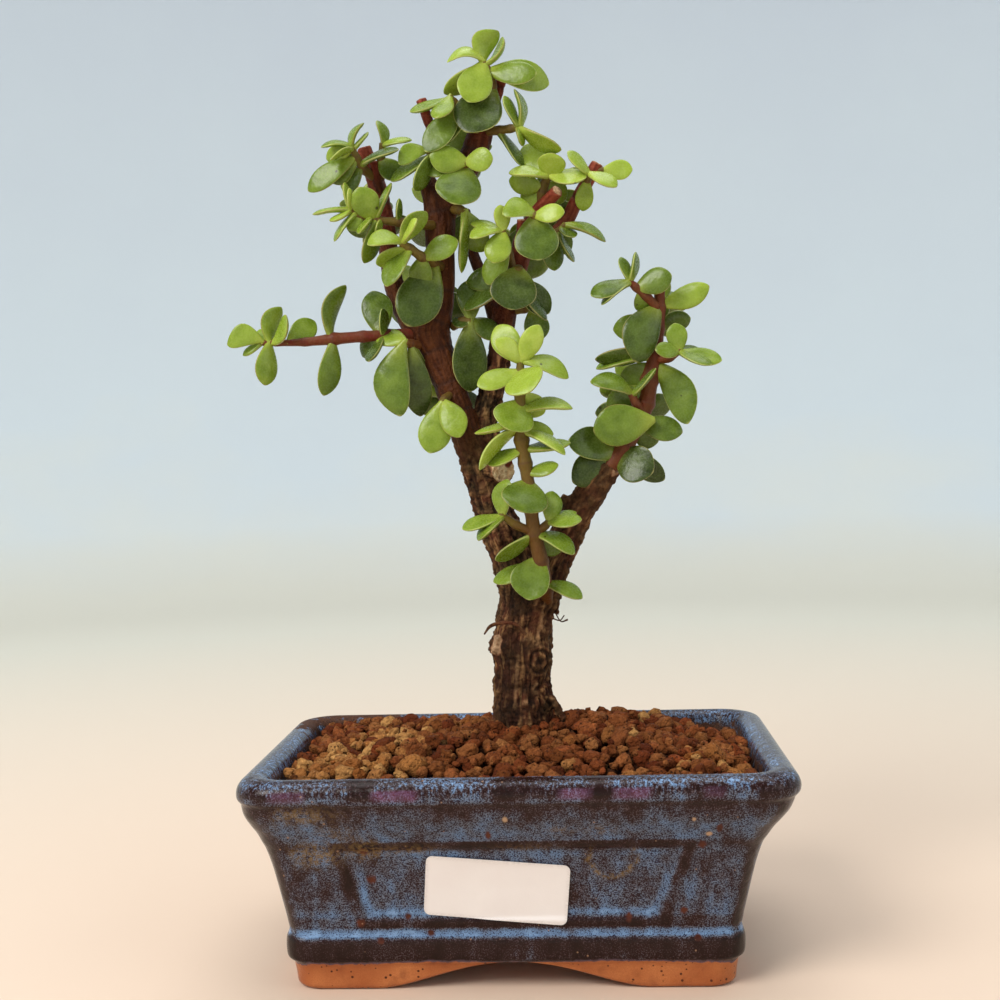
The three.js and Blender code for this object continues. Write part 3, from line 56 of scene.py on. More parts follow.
# Leafy shoots. A stem's path has x, depth, z and radius at each point. A leaf has its place along
# the path's points, its tip's x and z, the tip's reach towards the front, width, turn of its face in
# degrees and, where it isn't straight, its bend. A hidden stem has pairs of leaves of one length.
SHOOTS = {
    "centre_shoot": [
        {"path": [
            [9.5, 1.5, 113, 2.4], [9.4, -4, 119.5, 2.6], [8, -9.5, 129, 2.6], [6.2, -11, 138, 2.7],
            [5.3, -12, 146, 2.2], [4.7, -12.3, 154, 2.2], [3.7, -12.5, 162, 2.3], [2.7, -12.5, 170, 2.5],
            [2.6, -12.8, 177, 2.3], [2.5, -13.2, 186, 1.8], [2.7, -13.7, 192, 1.6], [3.2, -14, 197.5, 1.2]],
         "leaves": [
            [2.1, 3.5, 115.9, 6, 13.1, 0, -0.08], [1.9, -8.3, 122.4, -1, 8.5, 64],
            [1.2, 21.8, 116.1, 3, 8.3, 62, 0.08], [3, 19.5, 131.1, 3, 8.5, 63, 0.1],
            [2.8, 14.9, 132, -4, 6.7, 0], [3, -7.4, 129.7, 3, 8.5, -61], [5.2, 1.5, 145.8, 10, 15.5, 0],
            [5.6, 14.9, 161.3, 2, 6.8, 48], [7.6, -11.9, 160.3, 4, 8.5, -65, -0.1],
            [6.6, -8.8, 161.9, 1, 7.6, 58], [7.4, 17.2, 164.6, 5, 8.5, 64, 0.1],
            [6.6, 19.2, 168.7, -2, 8.5, 69], [7.9, -13.2, 172.6, 2, 8.5, 69],
            [8.6, -2.2, 173.8, 9, 13.8, 0], [8.2, 20.2, 180.1, 2, 8.5, 58, 0.08],
            [8.9, 10.5, 178.6, -5, 8, 0], [7.8, 13.5, 171.6, -3, 7, 30], [10.1, 6.2, 186.1, 11, 13.8, 0],
            [10.2, -11.8, 188.6, 4, 8.1, 35], [10.75, 19.1, 190.4, -2, 8.5, 52, 0.12],
            [10.8, -4.8, 208.6, -4, 9.5, 0], [11, 9.7, 208.5, 2, 7.4, 0],
            [11, -5.3, 203.9, 4, 6.7, 20, -0.1]]},
        {"path": [[5.5, -11.5, 139, 1.6], [0, -13, 141.5, 1.5], [-5.5, -14.5, 145.5, 1.2]],
         "leaves": [
            [2, -18.3, 140.5, 2, 8.5, 71], [1.9, -13, 136.4, 5, 7.5, 60],
            [2, -2.4, 157, 0, 7.5, -20, 0.1]]},
        {"path": [[6.5, -11, 138.5, 1.6], [10, -12, 141, 1.3], [11.5, -12.5, 143, 1.1]],
         "leaves": [
            [1.8, 12.6, 152.6, -2, 7.5, 20], [1.6, 22.2, 142.5, 4, 7.2, 58],
            [1.9, 20.6, 145.2, -2, 6.1, 64]]},
    ],
    "right_shoot": [
        {"path": [
            [31.6, 0, 159.1, 3.4], [37.4, 0, 167, 3.1], [41.6, 0, 174.2, 3], [44.7, 0, 181.1, 3],
            [46.1, 0, 188.8, 3.1], [48.2, 0, 197.1, 2.5], [49.4, 0, 206, 2.1], [50.1, 0, 213.2, 2.1],
            [50, 0, 218.7, 1.9]],
         "leaves": [
            [0.5, 18.3, 169.3, 6, 11.4, 20, -0.09], [0.4, 19.4, 155.3, 4, 10.8, -10, -0.09],
            [0.6, 46.6, 157.9, 8, 12.8, 5], [0.8, 50.3, 155.3, -3, 8, 0], [2.1, 56.7, 171, 2, 8.8, 10],
            [1.8, 48.5, 168, -4, 9, 0], [3.6, 31.5, 180.5, -3, 9, 0], [4.6, 36.5, 187.5, -4, 9, 0],
            [7.05, 41.6, 194.8, 6, 12.6, 0, -0.12], [6.2, 34.3, 206, -3, 9, 0],
            [5.2, 28, 196.3, 2, 8.5, -46], [4.9, 28.2, 193.2, -2, 8.5, 68],
            [4.7, 58.6, 173.8, 5, 10.8, 0, 0.09], [7.1, 66.7, 219.5, 2, 8.1, 10, -0.05]]},
        {"path": [[44.3, -1, 176, 1.4], [45.8, -4, 175.7, 1.2], [47, -6.2, 175.3, 1.1]],
         "leaves": [[2, 26.8, 172.4, 2, 13.8, 0]]},
        {"path": [[44.4, -1, 177.2, 1.7], [41.4, -3, 181.1, 1.5], [39.7, -4, 185, 1.3]],
         "leaves": [[2, 26.2, 188.9, 3, 8.5, 43, -0.12], [2, 48.3, 192.7, 5, 7.6, 74]]},
        {"path": [[49, -1, 195.5, 1.5], [52.8, -4, 196, 1.4], [57, -6, 198.8, 1.1]],
         "leaves": [
            [1.9, 48.2, 198.8, 4, 6.1, 30], [2, 54.9, 207.6, 0, 7, 0], [2, 70.3, 194.6, 3, 7, 30],
            [1.8, 66.7, 193.2, 6, 6.5, 60], [2, 63.4, 198.6, -4, 5.5, 49]]},
        {"path": [
            [49.4, -1, 212.7, 1.6], [45.6, -3, 216.9, 1.5], [42.3, -4, 219.9, 1.4],
            [39.6, -4.5, 222.5, 1.1]],
         "leaves": [
            [1.9, 54.3, 223.6, 3, 9, 15], [2.9, 27.2, 217.6, 4, 8.5, 51], [2.6, 30.7, 214.4, 3, 7.8, 71],
            [3, 42.6, 231.7, 0, 6.2, 68], [3, 37.4, 230.2, -1, 5, 50], [1.5, 45.4, 211.5, -4, 7, 0]]},
    ],
    "left_shoot": [
        {"path": [
            [-32.3, 1.5, 206.4, 2.6], [-41.8, -2, 206.6, 2.1], [-49.9, -4, 206.5, 1.9], [-60, -5, 206, 2.1],
            [-69.9, -6, 205.3, 1.4], [-79.9, -7, 205.3, 1.1], [-86, -7.5, 205.6, 0.9]],
         "leaves": [
            [3.05, -55.4, 224.1, 1, 8.5, 63, 0.16], [3.05, -64.1, 186.9, 2, 8.5, 45],
            [5.2, -76, 214.6, 5, 7.2, 46, -0.15], [5.3, -77.6, 217.4, -3, 8, 46, 0.15],
            [5.35, -84.1, 191, 2, 8.5, 51], [6, -96.7, 205.4, 2, 7.8, 10, -0.2],
            [6, -91.4, 201.4, 0, 3.5, 40], [5.9, -85.5, 210, -3, 5, 0], [4.55, -66.2, 212.2, -5, 8.1, 0],
            [1.25, -46.2, 221.8, -5, 10.5, 0], [1.2, -48.4, 198, 7, 7.4, 60],
            [1.15, -43.4, 215.6, 6, 6.4, 66], [1.5, -50.4, 199.6, -3, 7.5, 20]]},
    ],
    "node_shoot": [
        {"path": [[-31, -1, 203, 1.8], [-34, -4.5, 203.5, 1.6], [-36, -7, 204.5, 1.2]],
         "leaves": [
            [1.9, -38.3, 179.1, 2, 12.5, 0, -0.15], [0.9, -31.2, 178.9, -5, 9.8, 10],
            [0.6, -31, 188, -9, 8, 0], [2, -45.5, 206.4, -4, 8, 30]]},
    ],
    "scar_shoot": [
        {"path": [[-21, -1, 186, 1.5], [-23, -4, 184.5, 1.4], [-24, -5.5, 183, 1.2]],
         "leaves": [[2, -28.6, 166.4, 4, 11.2, 0], [1.4, -18, 171.5, 6, 9, 10]]},
    ],
    "front_twig": [
        {"path": [
            [-23, -1, 229, 1.9], [-25.5, -5, 230.5, 1.8], [-29, -9, 232.4, 1.7], [-33.2, -12, 235.6, 1.5],
            [-36.5, -14, 237.8, 1.1]],
         "leaves": [
            [0.8, -34.9, 209.5, 6, 15.2, 0], [1.9, -16.8, 237.6, 3, 8.1, 10],
            [4, -27.2, 247.7, 2, 8, -46, 0.1], [4, -30.4, 245.4, 6, 5.5, 60],
            [4, -47.6, 237.4, 5, 7.1, 30, -0.15], [3, -44.8, 230.6, -1, 7.6, -50],
            [2.9, -41.8, 223.1, 4, 8.5, 43], [2, -30.4, 222.5, -4, 8, 0]]},
    ],
    "left_twig": [
        {"path": [
            [-25, -1, 243, 1.8], [-30, -5, 243.5, 1.7], [-36.6, -8, 244.5, 1.6], [-44, -10, 245.5, 1.3],
            [-49.7, -11.5, 247.2, 1.1], [-54.1, -12.5, 249.8, 0.9]],
         "leaves": [
            [2, -36.3, 252.5, 3, 5, 70], [3.3, -50.2, 256.7, 5, 9.4, 0], [3.1, -38.8, 257.8, -1, 8.1, 67],
            [3.4, -50.3, 241.3, 6, 5.5, 49], [4, -53.6, 242.3, 1, 5, 0], [4.3, -58.9, 238.8, 1, 7.2, 72],
            [4.8, -60.1, 245.7, 4, 5.3, 67], [5, -66, 248.2, 1, 7.7, 79], [5, -54.6, 258.6, -1, 6, 67],
            [4.9, -53.2, 256.6, 3, 4.7, 68], [3.1, -48.9, 231.1, 0, 8.5, 60],
            [2.8, -44.8, 240.8, 4, 4.6, 67]]},
    ],
    "upper_left_twig": [
        {"path": [
            [-45, 0, 260, 1.6], [-48.2, -4, 262.8, 1.5], [-50.3, -6.5, 266.6, 1.3], [-52, -8, 270.6, 1]],
         "leaves": [
            [3, -62.4, 270.6, 3, 6.5, 66, -0.15], [3, -47.5, 278.2, -1, 6, 58, 0.1],
            [2.8, -46.1, 275, -3, 5.3, 72], [2.8, -58.9, 266.6, 7, 6.4, 72], [3, -60.6, 266.5, -4, 6, 0],
            [2, -67.2, 256, 0, 8, 25], [2, -60.2, 259.4, -4, 9.5, 10], [1.2, -54.4, 254.6, -1, 6.5, 30],
            [1.3, -36, 268.7, 6, 8.5, 63]]},
    ],
    "outer_twig": [
        {"path": [[-42.5, 1, 259, 1.6], [-42, 0, 265.5, 1.4], [-41.3, -1, 271.6, 1.1]],
         "leaves": [
            [2, -43, 278.8, 0, 5.5, 60, -0.15], [2, -31.4, 271.7, 2, 6.5, 62, 0.1],
            [1, -36.5, 258.5, 2, 8, 20]]},
    ],
    "crown_tip": [
        {"path": [[-4.5, -1.5, 283, 1.8], [-4, -3, 289, 1.6], [-5.4, -4, 294, 1.4], [-7, -5, 297, 1.1]],
         "leaves": [
            [0.8, -13.3, 273.6, 8, 15.8, 0], [2.8, -12.2, 283.6, 6, 11.5, 0],
            [2.6, -20.2, 286.7, -3, 8.5, -52], [3, -18.9, 297.1, 2, 7.5, 45, -0.25],
            [3, -1.4, 306.8, 0, 8.6, -30, 0.22], [2.7, -0.1, 304.7, -3, 7.2, 69, -0.15],
            [1.7, 11.1, 292.1, 4, 8.1, 20], [1.9, 15.2, 288.4, -5, 10.5, 15, 0.05]]},
    ],
    "crown_left_twig": [
        {"path": [[-9, -1, 273, 1.8], [-13, -4, 279, 1.6], [-17, -6, 284, 1.3], [-18.5, -6.5, 286, 1]],
         "leaves": [
            [1.6, -27, 267.6, 4, 9.5, 10], [2.4, -31.9, 281.2, 1, 6.5, 60], [3, -23.2, 278.6, 7, 7.5, 30],
            [1, -22.3, 269.4, -2, 8.5, 30]]},
    ],
    "crown_right_twig": [
        {"path": [[-6, -1, 273.5, 1.6], [-2, -3, 273.8, 1.5], [2, -4, 274.2, 1.4], [5.4, -5, 274.6, 1]],
         "leaves": [
            [3, 3.5, 287.3, 0, 7.8, 76, -0.15], [2.8, -0.1, 285.2, 3, 6.9, 68],
            [3, 18.7, 266.4, 2, 8.5, -69], [2.6, 5.6, 268.2, 2, 4.6, 56], [0.9, 6.2, 261.4, -4, 8.5, 74]]},
    ],
    "stub_twig": [
        {"path": [[-22, -2, 262.5, 1.5], [-24, -5, 266, 1.4], [-26.5, -7, 268.2, 1.1]],
         "leaves": [
            [2, -36.2, 264, 3, 6.7, 20, -0.18], [1.1, -39, 258.3, 0, 8.5, 61],
            [1.3, -31.3, 255, 4, 8.5, -60]]},
    ],
    "middle_twig": [
        {"path": [[-15, -1, 259, 1.7], [-14, -5, 262, 1.5], [-13, -8, 264.3, 1.2]],
         "leaves": [
            [2, -25.7, 266.4, 2, 9.2, 0], [2, -4.3, 264.5, 4, 8, 10], [1, -18, 249.8, 9, 15.2, 0],
            [0.8, -26.8, 260.3, 2, 7, 40]]},
    ],
    "hanging_twig": [
        {"path": [[-18, 0, 248, 1.7], [-15.5, -4, 247.6, 1.5], [-13.8, -6, 247.2, 1.1]],
         "leaves": [[2, -16, 226.7, 1, 8.5, 76], [1.6, -8.5, 233.5, -6, 9, 10]]},
    ],
    "heart_twig": [
        {"path": [[1, 3, 228, 1.8], [0, -3, 233, 1.6], [-1, -7, 238, 1.4], [-2, -9, 240.8, 1.1]],
         "leaves": [
            [3, -12.9, 238.4, 4, 7.1, 58, -0.1], [2.6, -5.2, 229.6, 4, 8.8, 0], [3, -2.4, 249, 1, 6.5, 40],
            [2.4, -12.4, 243.4, -3, 6, 60], [1.4, -7.5, 222.5, -1, 8.5, 10]]},
    ],
    "pair_twig": [
        {"path": [[6, 1, 238, 1.8], [7.5, -5, 241.5, 1.6], [9.7, -10, 246, 1.3]],
         "leaves": [
            [2, -1.7, 245.9, 4, 8.1, 25, -0.2], [2, 19.2, 245.8, 4, 6.7, 20],
            [1.6, 10.3, 230, 4, 14.5, 0]]},
    ],
    "right_crown_twig": [
        {"path": [[11.5, 2, 248.3, 1.9], [12, 1, 252.5, 1.8], [13, 0, 256, 1.5], [15.2, -2, 258.8, 1.1]],
         "leaves": [
            [3, 15.5, 265.6, 6, 9.4, 0], [2.6, 0.8, 259.4, 3, 8.2, 55], [2.8, 26.8, 257, 3, 8.5, 38, -0.08],
            [1.4, 0.8, 257, -2, 7.5, -20], [1.2, 4.8, 248.6, -4, 9, 0], [1.6, 19.8, 250, -5, 8.5, 0],
            [2.7, 6.2, 268.4, -7, 9.5, 0]]},
    ],
    "far_right_twig": [
        {"path": [[26, 1, 253.5, 1.5], [27.1, -2, 256.3, 1.3], [27.9, -3.5, 258.6, 1]],
         "leaves": [
            [2, 20.7, 266, 2, 7, 58], [2, 36.8, 253.4, 4, 7.4, 45], [0.9, 25.2, 245.8, -3, 6.1, 0]]},
        {"path": [[30, 1, 258.4, 1.3], [31.6, 0.5, 259, 1.2], [33, 0.2, 259.2, 1]],
         "leaves": [[2, 42.2, 259, 1, 7.2, 5]]},
    ],
    "low_right_twig": [
        {"path": [[12, 3, 236, 1.6], [15.5, -1, 238.4, 1.4], [20, -2, 242, 1.1]],
         "leaves": [
            [1.6, 22.3, 237.3, 3, 6.5, 60], [1.3, 21.9, 229, 1, 7.2, 72], [0.8, 15.3, 226.3, -1, 8.5, 30],
            [1, 20.8, 232.6, -5, 7, 0], [2, 32.7, 235.4, -1, 8, 58, 0.08]]},
    ],
    "dark_leaf_twig": [
        {"path": [[1, 5, 219, 1.8], [2.5, -1, 224, 1.7], [3.4, -5, 228.4, 1.4]],
         "leaves": [
            [2, 0.2, 213.8, 5, 15.5, 0], [1.2, 12.2, 209.8, 2, 8.5, 62], [1, 13.2, 212.2, -4, 9.5, 10],
            [1.3, -15.6, 214.3, 0, 8.5, 54], [1.5, -14.6, 223.4, -5, 8.5, 0]]},
    ],
    "shade_twig": [
        {"path": [[-19.5, 5, 209, 1.8], [-16, 2, 210.5, 1.6], [-12.5, 1, 210.5, 1.3]],
         "leaves": [
            [1.8, -14.4, 186.6, 0, 12.5, 20], [1.3, -19.3, 209.4, 2, 6.5, 50], [2, -14.4, 224, -3, 8.5, 10],
            [2, -3, 205.5, -3, 8, 20]]},
    ],
    "low_far_twig": [
        {"path": [[-1, 9, 213, 1.7], [5, 7, 214, 1.5], [8.5, 6, 213.6, 1.1]],
         "leaves": [[2, 9.9, 203.2, 0, 8.7, 10], [1.8, 12.4, 217.1, -4, 6.1, 20]]},
    ],
    "back_low_twig": [
        {"path": [[-19, 6, 180, 1.7], [-22, 16, 184, 1.6], [-25, 25, 191, 1.2]], "pairs": 4, "length": 15},
    ],
    "back_node_twig": [
        {"path": [[-26, 7, 212, 1.8], [-27, 18, 216, 1.6], [-30, 29, 224, 1.2]], "pairs": 5, "length": 16},
    ],
    "back_left_twig": [
        {"path": [[-41, 6, 240, 1.7], [-45, 16, 246, 1.5], [-50, 24, 255, 1.1]], "pairs": 5, "length": 14},
    ],
    "back_crown_twig": [
        {"path": [[-15, 4, 259, 1.8], [-14, 14, 266, 1.6], [-11, 22, 277, 1.2]], "pairs": 5, "length": 14},
    ],
    "back_limb_twig": [
        {"path": [[-23, 6, 238, 1.8], [-22, 18, 243, 1.6], [-25, 28, 252, 1.2]], "pairs": 5, "length": 15},
    ],
    "back_far_twig": [
        {"path": [[1, 10, 223, 1.8], [3, 21, 229, 1.6], [2, 31, 238, 1.2]], "pairs": 5, "length": 15},
    ],
    "back_right_twig": [
        {"path": [[9, 5, 243, 1.7], [14, 15, 247, 1.5], [18, 23, 256, 1.1]], "pairs": 5, "length": 14},
    ],
    "back_side_twig": [
        {"path": [[42, 2, 176, 1.6], [40, 11, 181, 1.4], [37, 18, 189, 1.1]], "pairs": 4, "length": 14},
    ],
    "back_top_twig": [
        {"path": [[48.5, 1.5, 205, 1.4], [51, 9, 209, 1.3], [52, 14, 217, 1]], "pairs": 4, "length": 12},
    ],
}

# Old wood: x, depth, z and radius at each point of a path
WOOD = {
    "trunk": [
        [1, 4, 48, 9.4], [0.8, 4, 62, 10], [0.5, 4, 75, 10.4], [0.8, 4, 86, 10], [1, 4, 95, 10.3],
        [0.8, 4, 101, 10.7], [1.6, 4, 107, 9.7], [2.6, 4, 114, 9.7], [3.6, 4, 121, 9.8]],
    "left_limb": [
        [3, 4, 114, 8.4], [-1.5, 4, 130, 7.6], [-5.5, 4, 141, 6.9], [-9, 4, 151, 6.5],
        [-11.5, 3.5, 161, 6.3], [-15.2, 3, 170, 5.4], [-18, 3, 179, 5.2], [-21.5, 3, 190, 5.2],
        [-25, 3, 200, 5.9], [-27, 3, 207, 7], [-25, 3, 213, 5.6], [-23.3, 3, 222, 4.9], [-23, 3, 235, 4.9],
        [-23, 3, 246, 5.3], [-24.5, 3.5, 252, 4], [-27, 4, 258.5, 3]],
    "crown_limb": [
        [-22, 3, 246, 4.6], [-17, 2.5, 256, 4.4], [-11.5, 2, 265, 4.5], [-8.6, 1.5, 272, 4.4],
        [-5.5, 1, 279, 3], [-2.5, 0.5, 285, 1.8], [-0.6, 0, 291, 1.8]],
    "far_limb": [
        [-9, 5, 166, 5], [-9.5, 7, 176, 4.6], [-7.5, 8, 185, 4.4], [-5, 9, 194, 4.3], [-3.4, 9, 203, 4.2],
        [-1.8, 9, 213, 4.2], [0.5, 8, 222, 4], [3.5, 6, 231, 3.9], [6, 5, 239, 3.2], [10, 2, 246, 2.5],
        [14, -2, 250, 2.2], [17.2, -5.5, 253.1, 2.1]],
    "far_side_stub": [
        [5, 6, 233, 3], [12, 5, 236, 2.8], [18.3, 4, 241, 2.5], [23.6, 2.5, 250, 2.4],
        [30.7, 1, 261.7, 2.2]],
    "outer_limb": [
        [-28, 3, 204, 5], [-34, 4, 212, 4.2], [-38.5, 5, 222, 3.6], [-40.3, 5, 233, 3.3],
        [-41.3, 4.5, 245, 3.2], [-43.5, 3.5, 256, 3.1], [-46, 2.5, 264, 2.7], [-47.8, 2, 270, 2.5]],
    "right_limb": [
        [6, 4, 114, 8.2], [11, 3, 127, 6.8], [16.5, 2.5, 137, 6], [21.5, 2, 146, 5.6], [27, 1, 154, 5.2],
        [32.5, 0.5, 160.5, 4.4]],
    "dark_limb": [[-4, 10, 208, 3], [-8, 13, 222, 2.2], [-12.5, 15, 235, 2], [-14, 15, 248, 1.7]],
    "crown_stub": [[-19, 1, 256, 2.4], [-22, -1, 265, 1.8], [-24.6, -2, 274, 1.7], [-28, -3, 285.3, 1.9]],
    "outer_stub": [[-42.3, 3, 253, 1.8], [-43.5, 0, 259, 1.5], [-45, -2, 265.5, 1.5]],
    "small_stub": [[4, 5, 234, 2], [4.3, 1, 239, 1.6], [4.6, -1, 244, 1.5]],
    "pale_cut": [[-8, 3, 161.5, 5], [-3.5, -3.5, 159.8, 4.8]],
    "right_knob": [[19, 2, 147, 3.4], [15.6, 1, 150.6, 1.6]],
    "trunk_knob": [[-4, 1, 100, 4.5], [-9.3, -1, 101.3, 3.2]],
    "root": [[8, 2, 85, 2.4], [12, 0.5, 79.5, 1.6], [14.5, 0, 74, 1.3], [15.5, 0, 68, 1.3]],
}

# The random draw's factor, step and range
DRAW_FACTOR = 1664525
DRAW_STEP = 1013904223
DRAW_RANGE = 2**32


def make_draw(seed):
    """A small repeatable random draw, the same as in the part's source."""
    state = seed

    def draw(low, high):
        nonlocal state
        state = (state * DRAW_FACTOR + DRAW_STEP) % DRAW_RANGE
        return low + (high - low) * (state / DRAW_RANGE)

    return draw


def clamp(value, low=0.0, high=1.0):
    return max(low, min(high, value))


def smooth_step(low, high, value):
    share = clamp((value - low) / (high - low))
    return share * share * (3 - 2 * share)


def hump(value, centre, width):
    """A soft bump of height 1 round the centre."""
    return math.exp(-((value - centre) / width) ** 2)


def span(value, low, high, soft):
    """1 between two ends, falling to 0 over a soft width at each of them."""
    return smooth_step(low - soft, low + soft, value) * smooth_step(high + soft, high - soft, value)


def near(value, reach, inner):
    """1 up to an inner share of the reach, falling to 0 at the reach."""
    return smooth_step(reach, inner * reach, value)


def fine_noise(point, size):
    """Smooth noise from -1 to 1 whose features measure about size."""
    return noise.noise(point / size)


def add_object(name, data):
    made = bpy.data.objects.new(name, data)
    bpy.context.collection.objects.link(made)
    return made


def shade_smooth(mesh):
    mesh.polygons.foreach_set("use_smooth", [True] * len(mesh.polygons))
    mesh.update()


def set_value(mesh, name, store):
    """Stores a named value for each point of a mesh."""
    mesh.attributes.new(name, "FLOAT", "POINT").data.foreach_set("value", store)


class Skin:
    """Points, faces and named values per point of one piece while it is being made."""

    def __init__(self, *value_names):
        self.points = []
        self.faces = []
        self.slots = []
        self.values = {name: [] for name in value_names}

    def add(self, points, faces, slot=0, **values):
        first = len(self.points)
        self.points += points
        self.faces += [tuple(first + index for index in face) for face in faces]
        self.slots += [slot] * len(faces)
        for name, store in self.values.items():
            given = values.get(name, 0.0)
            store += list(given) if isinstance(given, (list, tuple)) else [given] * len(points)

    def make(self, name, materials):
        mesh = bpy.data.meshes.new(name)
        mesh.from_pydata([tuple(point * MM + POT_MIDDLE) for point in self.points], [], self.faces)
        mesh.polygons.foreach_set("material_index", self.slots)
        for value_name, store in self.values.items():
            set_value(mesh, value_name, store)
        for material in materials:
            mesh.materials.append(material)
        shade_smooth(mesh)
        return add_object(name, mesh)


def attach(piece, node):
    """The piece is put on the root body, and the node's own solid is hidden."""
    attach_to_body(piece, "root")
    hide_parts(node)


def apply_modifiers(piece):
    """Replaces the piece's mesh by what its modifiers make of it."""
    view = bpy.context.evaluated_depsgraph_get()
    old = piece.data
    made = bpy.data.meshes.new_from_object(piece.evaluated_get(view), depsgraph=view)
    piece.modifiers.clear()
    piece.data = made
    name = old.name
    bpy.data.meshes.remove(old)
    made.name = name


def ring_faces(levels, count):
    """Quads between rings of points, each ring anticlockwise as seen from the last one."""
    faces = []
    for level in range(levels - 1):
        for step in range(count):
            here = level * count + step
            beside = level * count + (step + 1) % count
            faces.append((here, beside, beside + count, here + count))
    return faces


def closed_ring_faces(levels, count):
    """Ring faces with both ends closed."""
    start = tuple(reversed(range(count)))
    end = tuple(range((levels - 1) * count, levels * count))
    return [start, *ring_faces(levels, count), end]


def pointed_ring_faces(levels, count):
    """Ring faces closed flat at the start and drawn together at one last point."""
    start = tuple(reversed(range(count)))
    last = (levels - 1) * count
    tip = levels * count
    fan = [(last + step, last + (step + 1) % count, tip) for step in range(count)]
    return [start, *ring_faces(levels, count), *fan]


# Stems

def seen(entry):
    """A table's point, moved along the line of sight to its own depth."""
    x, y, z = entry[:3]
    share = (y - EYE.y) / (TRUNK_PLANE_Y - EYE.y)
    return Vector((EYE.x + (x - EYE.x) * share, y, EYE.z + (z - EYE.z) * share))


def with_neighbours(points, index):
    """The two ends of a piece of a curve between the points before and after them."""
    second, third = points[index], points[index + 1]
    first = points[index - 1] if index else 2 * second - third
    fourth = points[index + 2] if index + 2 < len(points) else 2 * third - second
    return first, second, third, fourth


def between(start, end, leave, arrive, weight):
    """A point of the cubic that leaves its start and arrives at its end in the given directions."""
    square = -3 * start + 3 * end - 2 * leave - arrive
    cube = 2 * start - 2 * end + leave + arrive
    return start + leave * weight + square * weight**2 + cube * weight**3


class StemCurve:
    """A centripetal Catmull-Rom curve through a path's points, with the radius along it."""

    def __init__(self, path):
        self.points = [seen(entry) for entry in path]
        self.radii = [entry[3] for entry in path]
        self.segments = len(path) - 1

    def segment(self, share):
        """Number of the segment at a share of the curve, and how far along the segment that is."""
        place = clamp(share) * self.segments
        index = min(int(place), self.segments - 1)
        return index, place - index

    def point(self, share):
        index, weight = self.segment(share)
        first, second, third, fourth = with_neighbours(self.points, index)
        before, within, after = (
            math.sqrt((end - start).length) or 1.0
            for start, end in ((first, second), (second, third), (third, fourth))
        )
        leave = (second - first) / before - (third - first) / (before + within)
        leave = (leave + (third - second) / within) * within
        arrive = (third - second) / within - (fourth - second) / (within + after)
        arrive = (arrive + (fourth - third) / after) * within
        return between(second, third, leave, arrive, weight)

    def tangent(self, share):
        step = 0.0001
        return (self.point(share + step) - self.point(share - step)).normalized()

    def radius(self, share):
        index, weight = self.segment(share)
        return self.radii[index] + (self.radii[index + 1] - self.radii[index]) * weight

    def place(self, index):
        """A place by the number of its path point, kept a little short of the stem's end."""
        return min(index, self.segments - 0.25) / self.segments

    def length(self):
        return sum((end - start).length for start, end in zip(self.points, self.points[1:]))

    def steps(self, step, fewest):
        """How many steps of about a length the curve takes."""
        return max(fewest, round(self.length() / step))

    def frames(self, steps):
        """Points and cross directions along the curve, carried on without twist."""
        side = self.tangent(0).orthogonal()
        for step in range(steps + 1):
            share = step / steps
            tangent = self.tangent(share)
            side = (side - tangent * side.dot(tangent)).normalized()
            yield share, self.point(share), tangent, side, tangent.cross(side)

    def rings(self, sides, steps, radius_at):
        """Rings of points round the curve, with the radius given by a function of the share."""
        points = []
        for share, centre, _tangent, side, other in self.frames(steps):
            radius = radius_at(share)
            for corner in range(sides):
                angle = 2 * math.pi * corner / sides
                points.append(centre + (side * math.cos(angle) + other * math.sin(angle)) * radius)
        return points


# Leaves

LEAF_FOOT_DEPTH = 0.8
LEAF_ROWS = 18
# Directions round a leaf's section in degrees, close together at its two rims
LEAF_SECTION = (0, 7, 19, 38, 64, 90, 116, 142, 161, 173)
LEAF_THICKNESS = 1.25
LEAF_THICKNESS_SHARE = 0.06
# Where along a leaf it is widest, and how wide its stalk is as share of that
LEAF_WIDEST = 0.6
LEAF_STALK = 0.15
# A leaf's belly is thicker than its upper side
BELLY_SHARE = 1.15
CROWN_SHARE = 0.85
# Across and lift of a section are raised to these powers, which blunts its rims
ACROSS_POWER = 0.92
LIFT_POWER = 0.95
# A leaf's cross direction counts as upright where its rise is more than this
CLEARLY_UPRIGHT = 0.35
# What the skin of a shoot stores for its materials at each point
SHOOT_VALUES = ("tone", "rim", "under", "dome", "foot", "blush")


def leaf_directions(leaf):
    """The leaf's length, face and width directions, and the one in which it bends as seen."""
    along = (leaf["tip"] - leaf["base"]).normalized()
    if "upper" in leaf:
        return along, leaf["upper"], leaf["upper"].cross(along), leaf["upper"]
    front = Vector((0, -1, 0))
    front = (front - along * front.dot(along)).normalized()
    other = along.cross(front)
    lead = other.z if abs(other.z) > CLEARLY_UPRIGHT else other.x
    if lead < 0:
        other = -other
    turn = math.radians(leaf["face_turn"])
    normal = front * math.cos(turn) + other * math.sin(turn)
    return along, normal, normal.cross(along), front.cross(along)


def leaf_half_width(share, plumpness):
    """Half width along a leaf, as share of its widest: a wedge foot and a blunt point."""
    if share < LEAF_WIDEST:
        rise = math.sin(math.pi / 2 * share / LEAF_WIDEST) ** (1.55 - 0.75 * plumpness)
        return LEAF_STALK + (1 - LEAF_STALK) * rise
    fall = (share - LEAF_WIDEST) / (1 - LEAF_WIDEST)
    return max(0.0, 1 - fall**2.2) ** 0.7


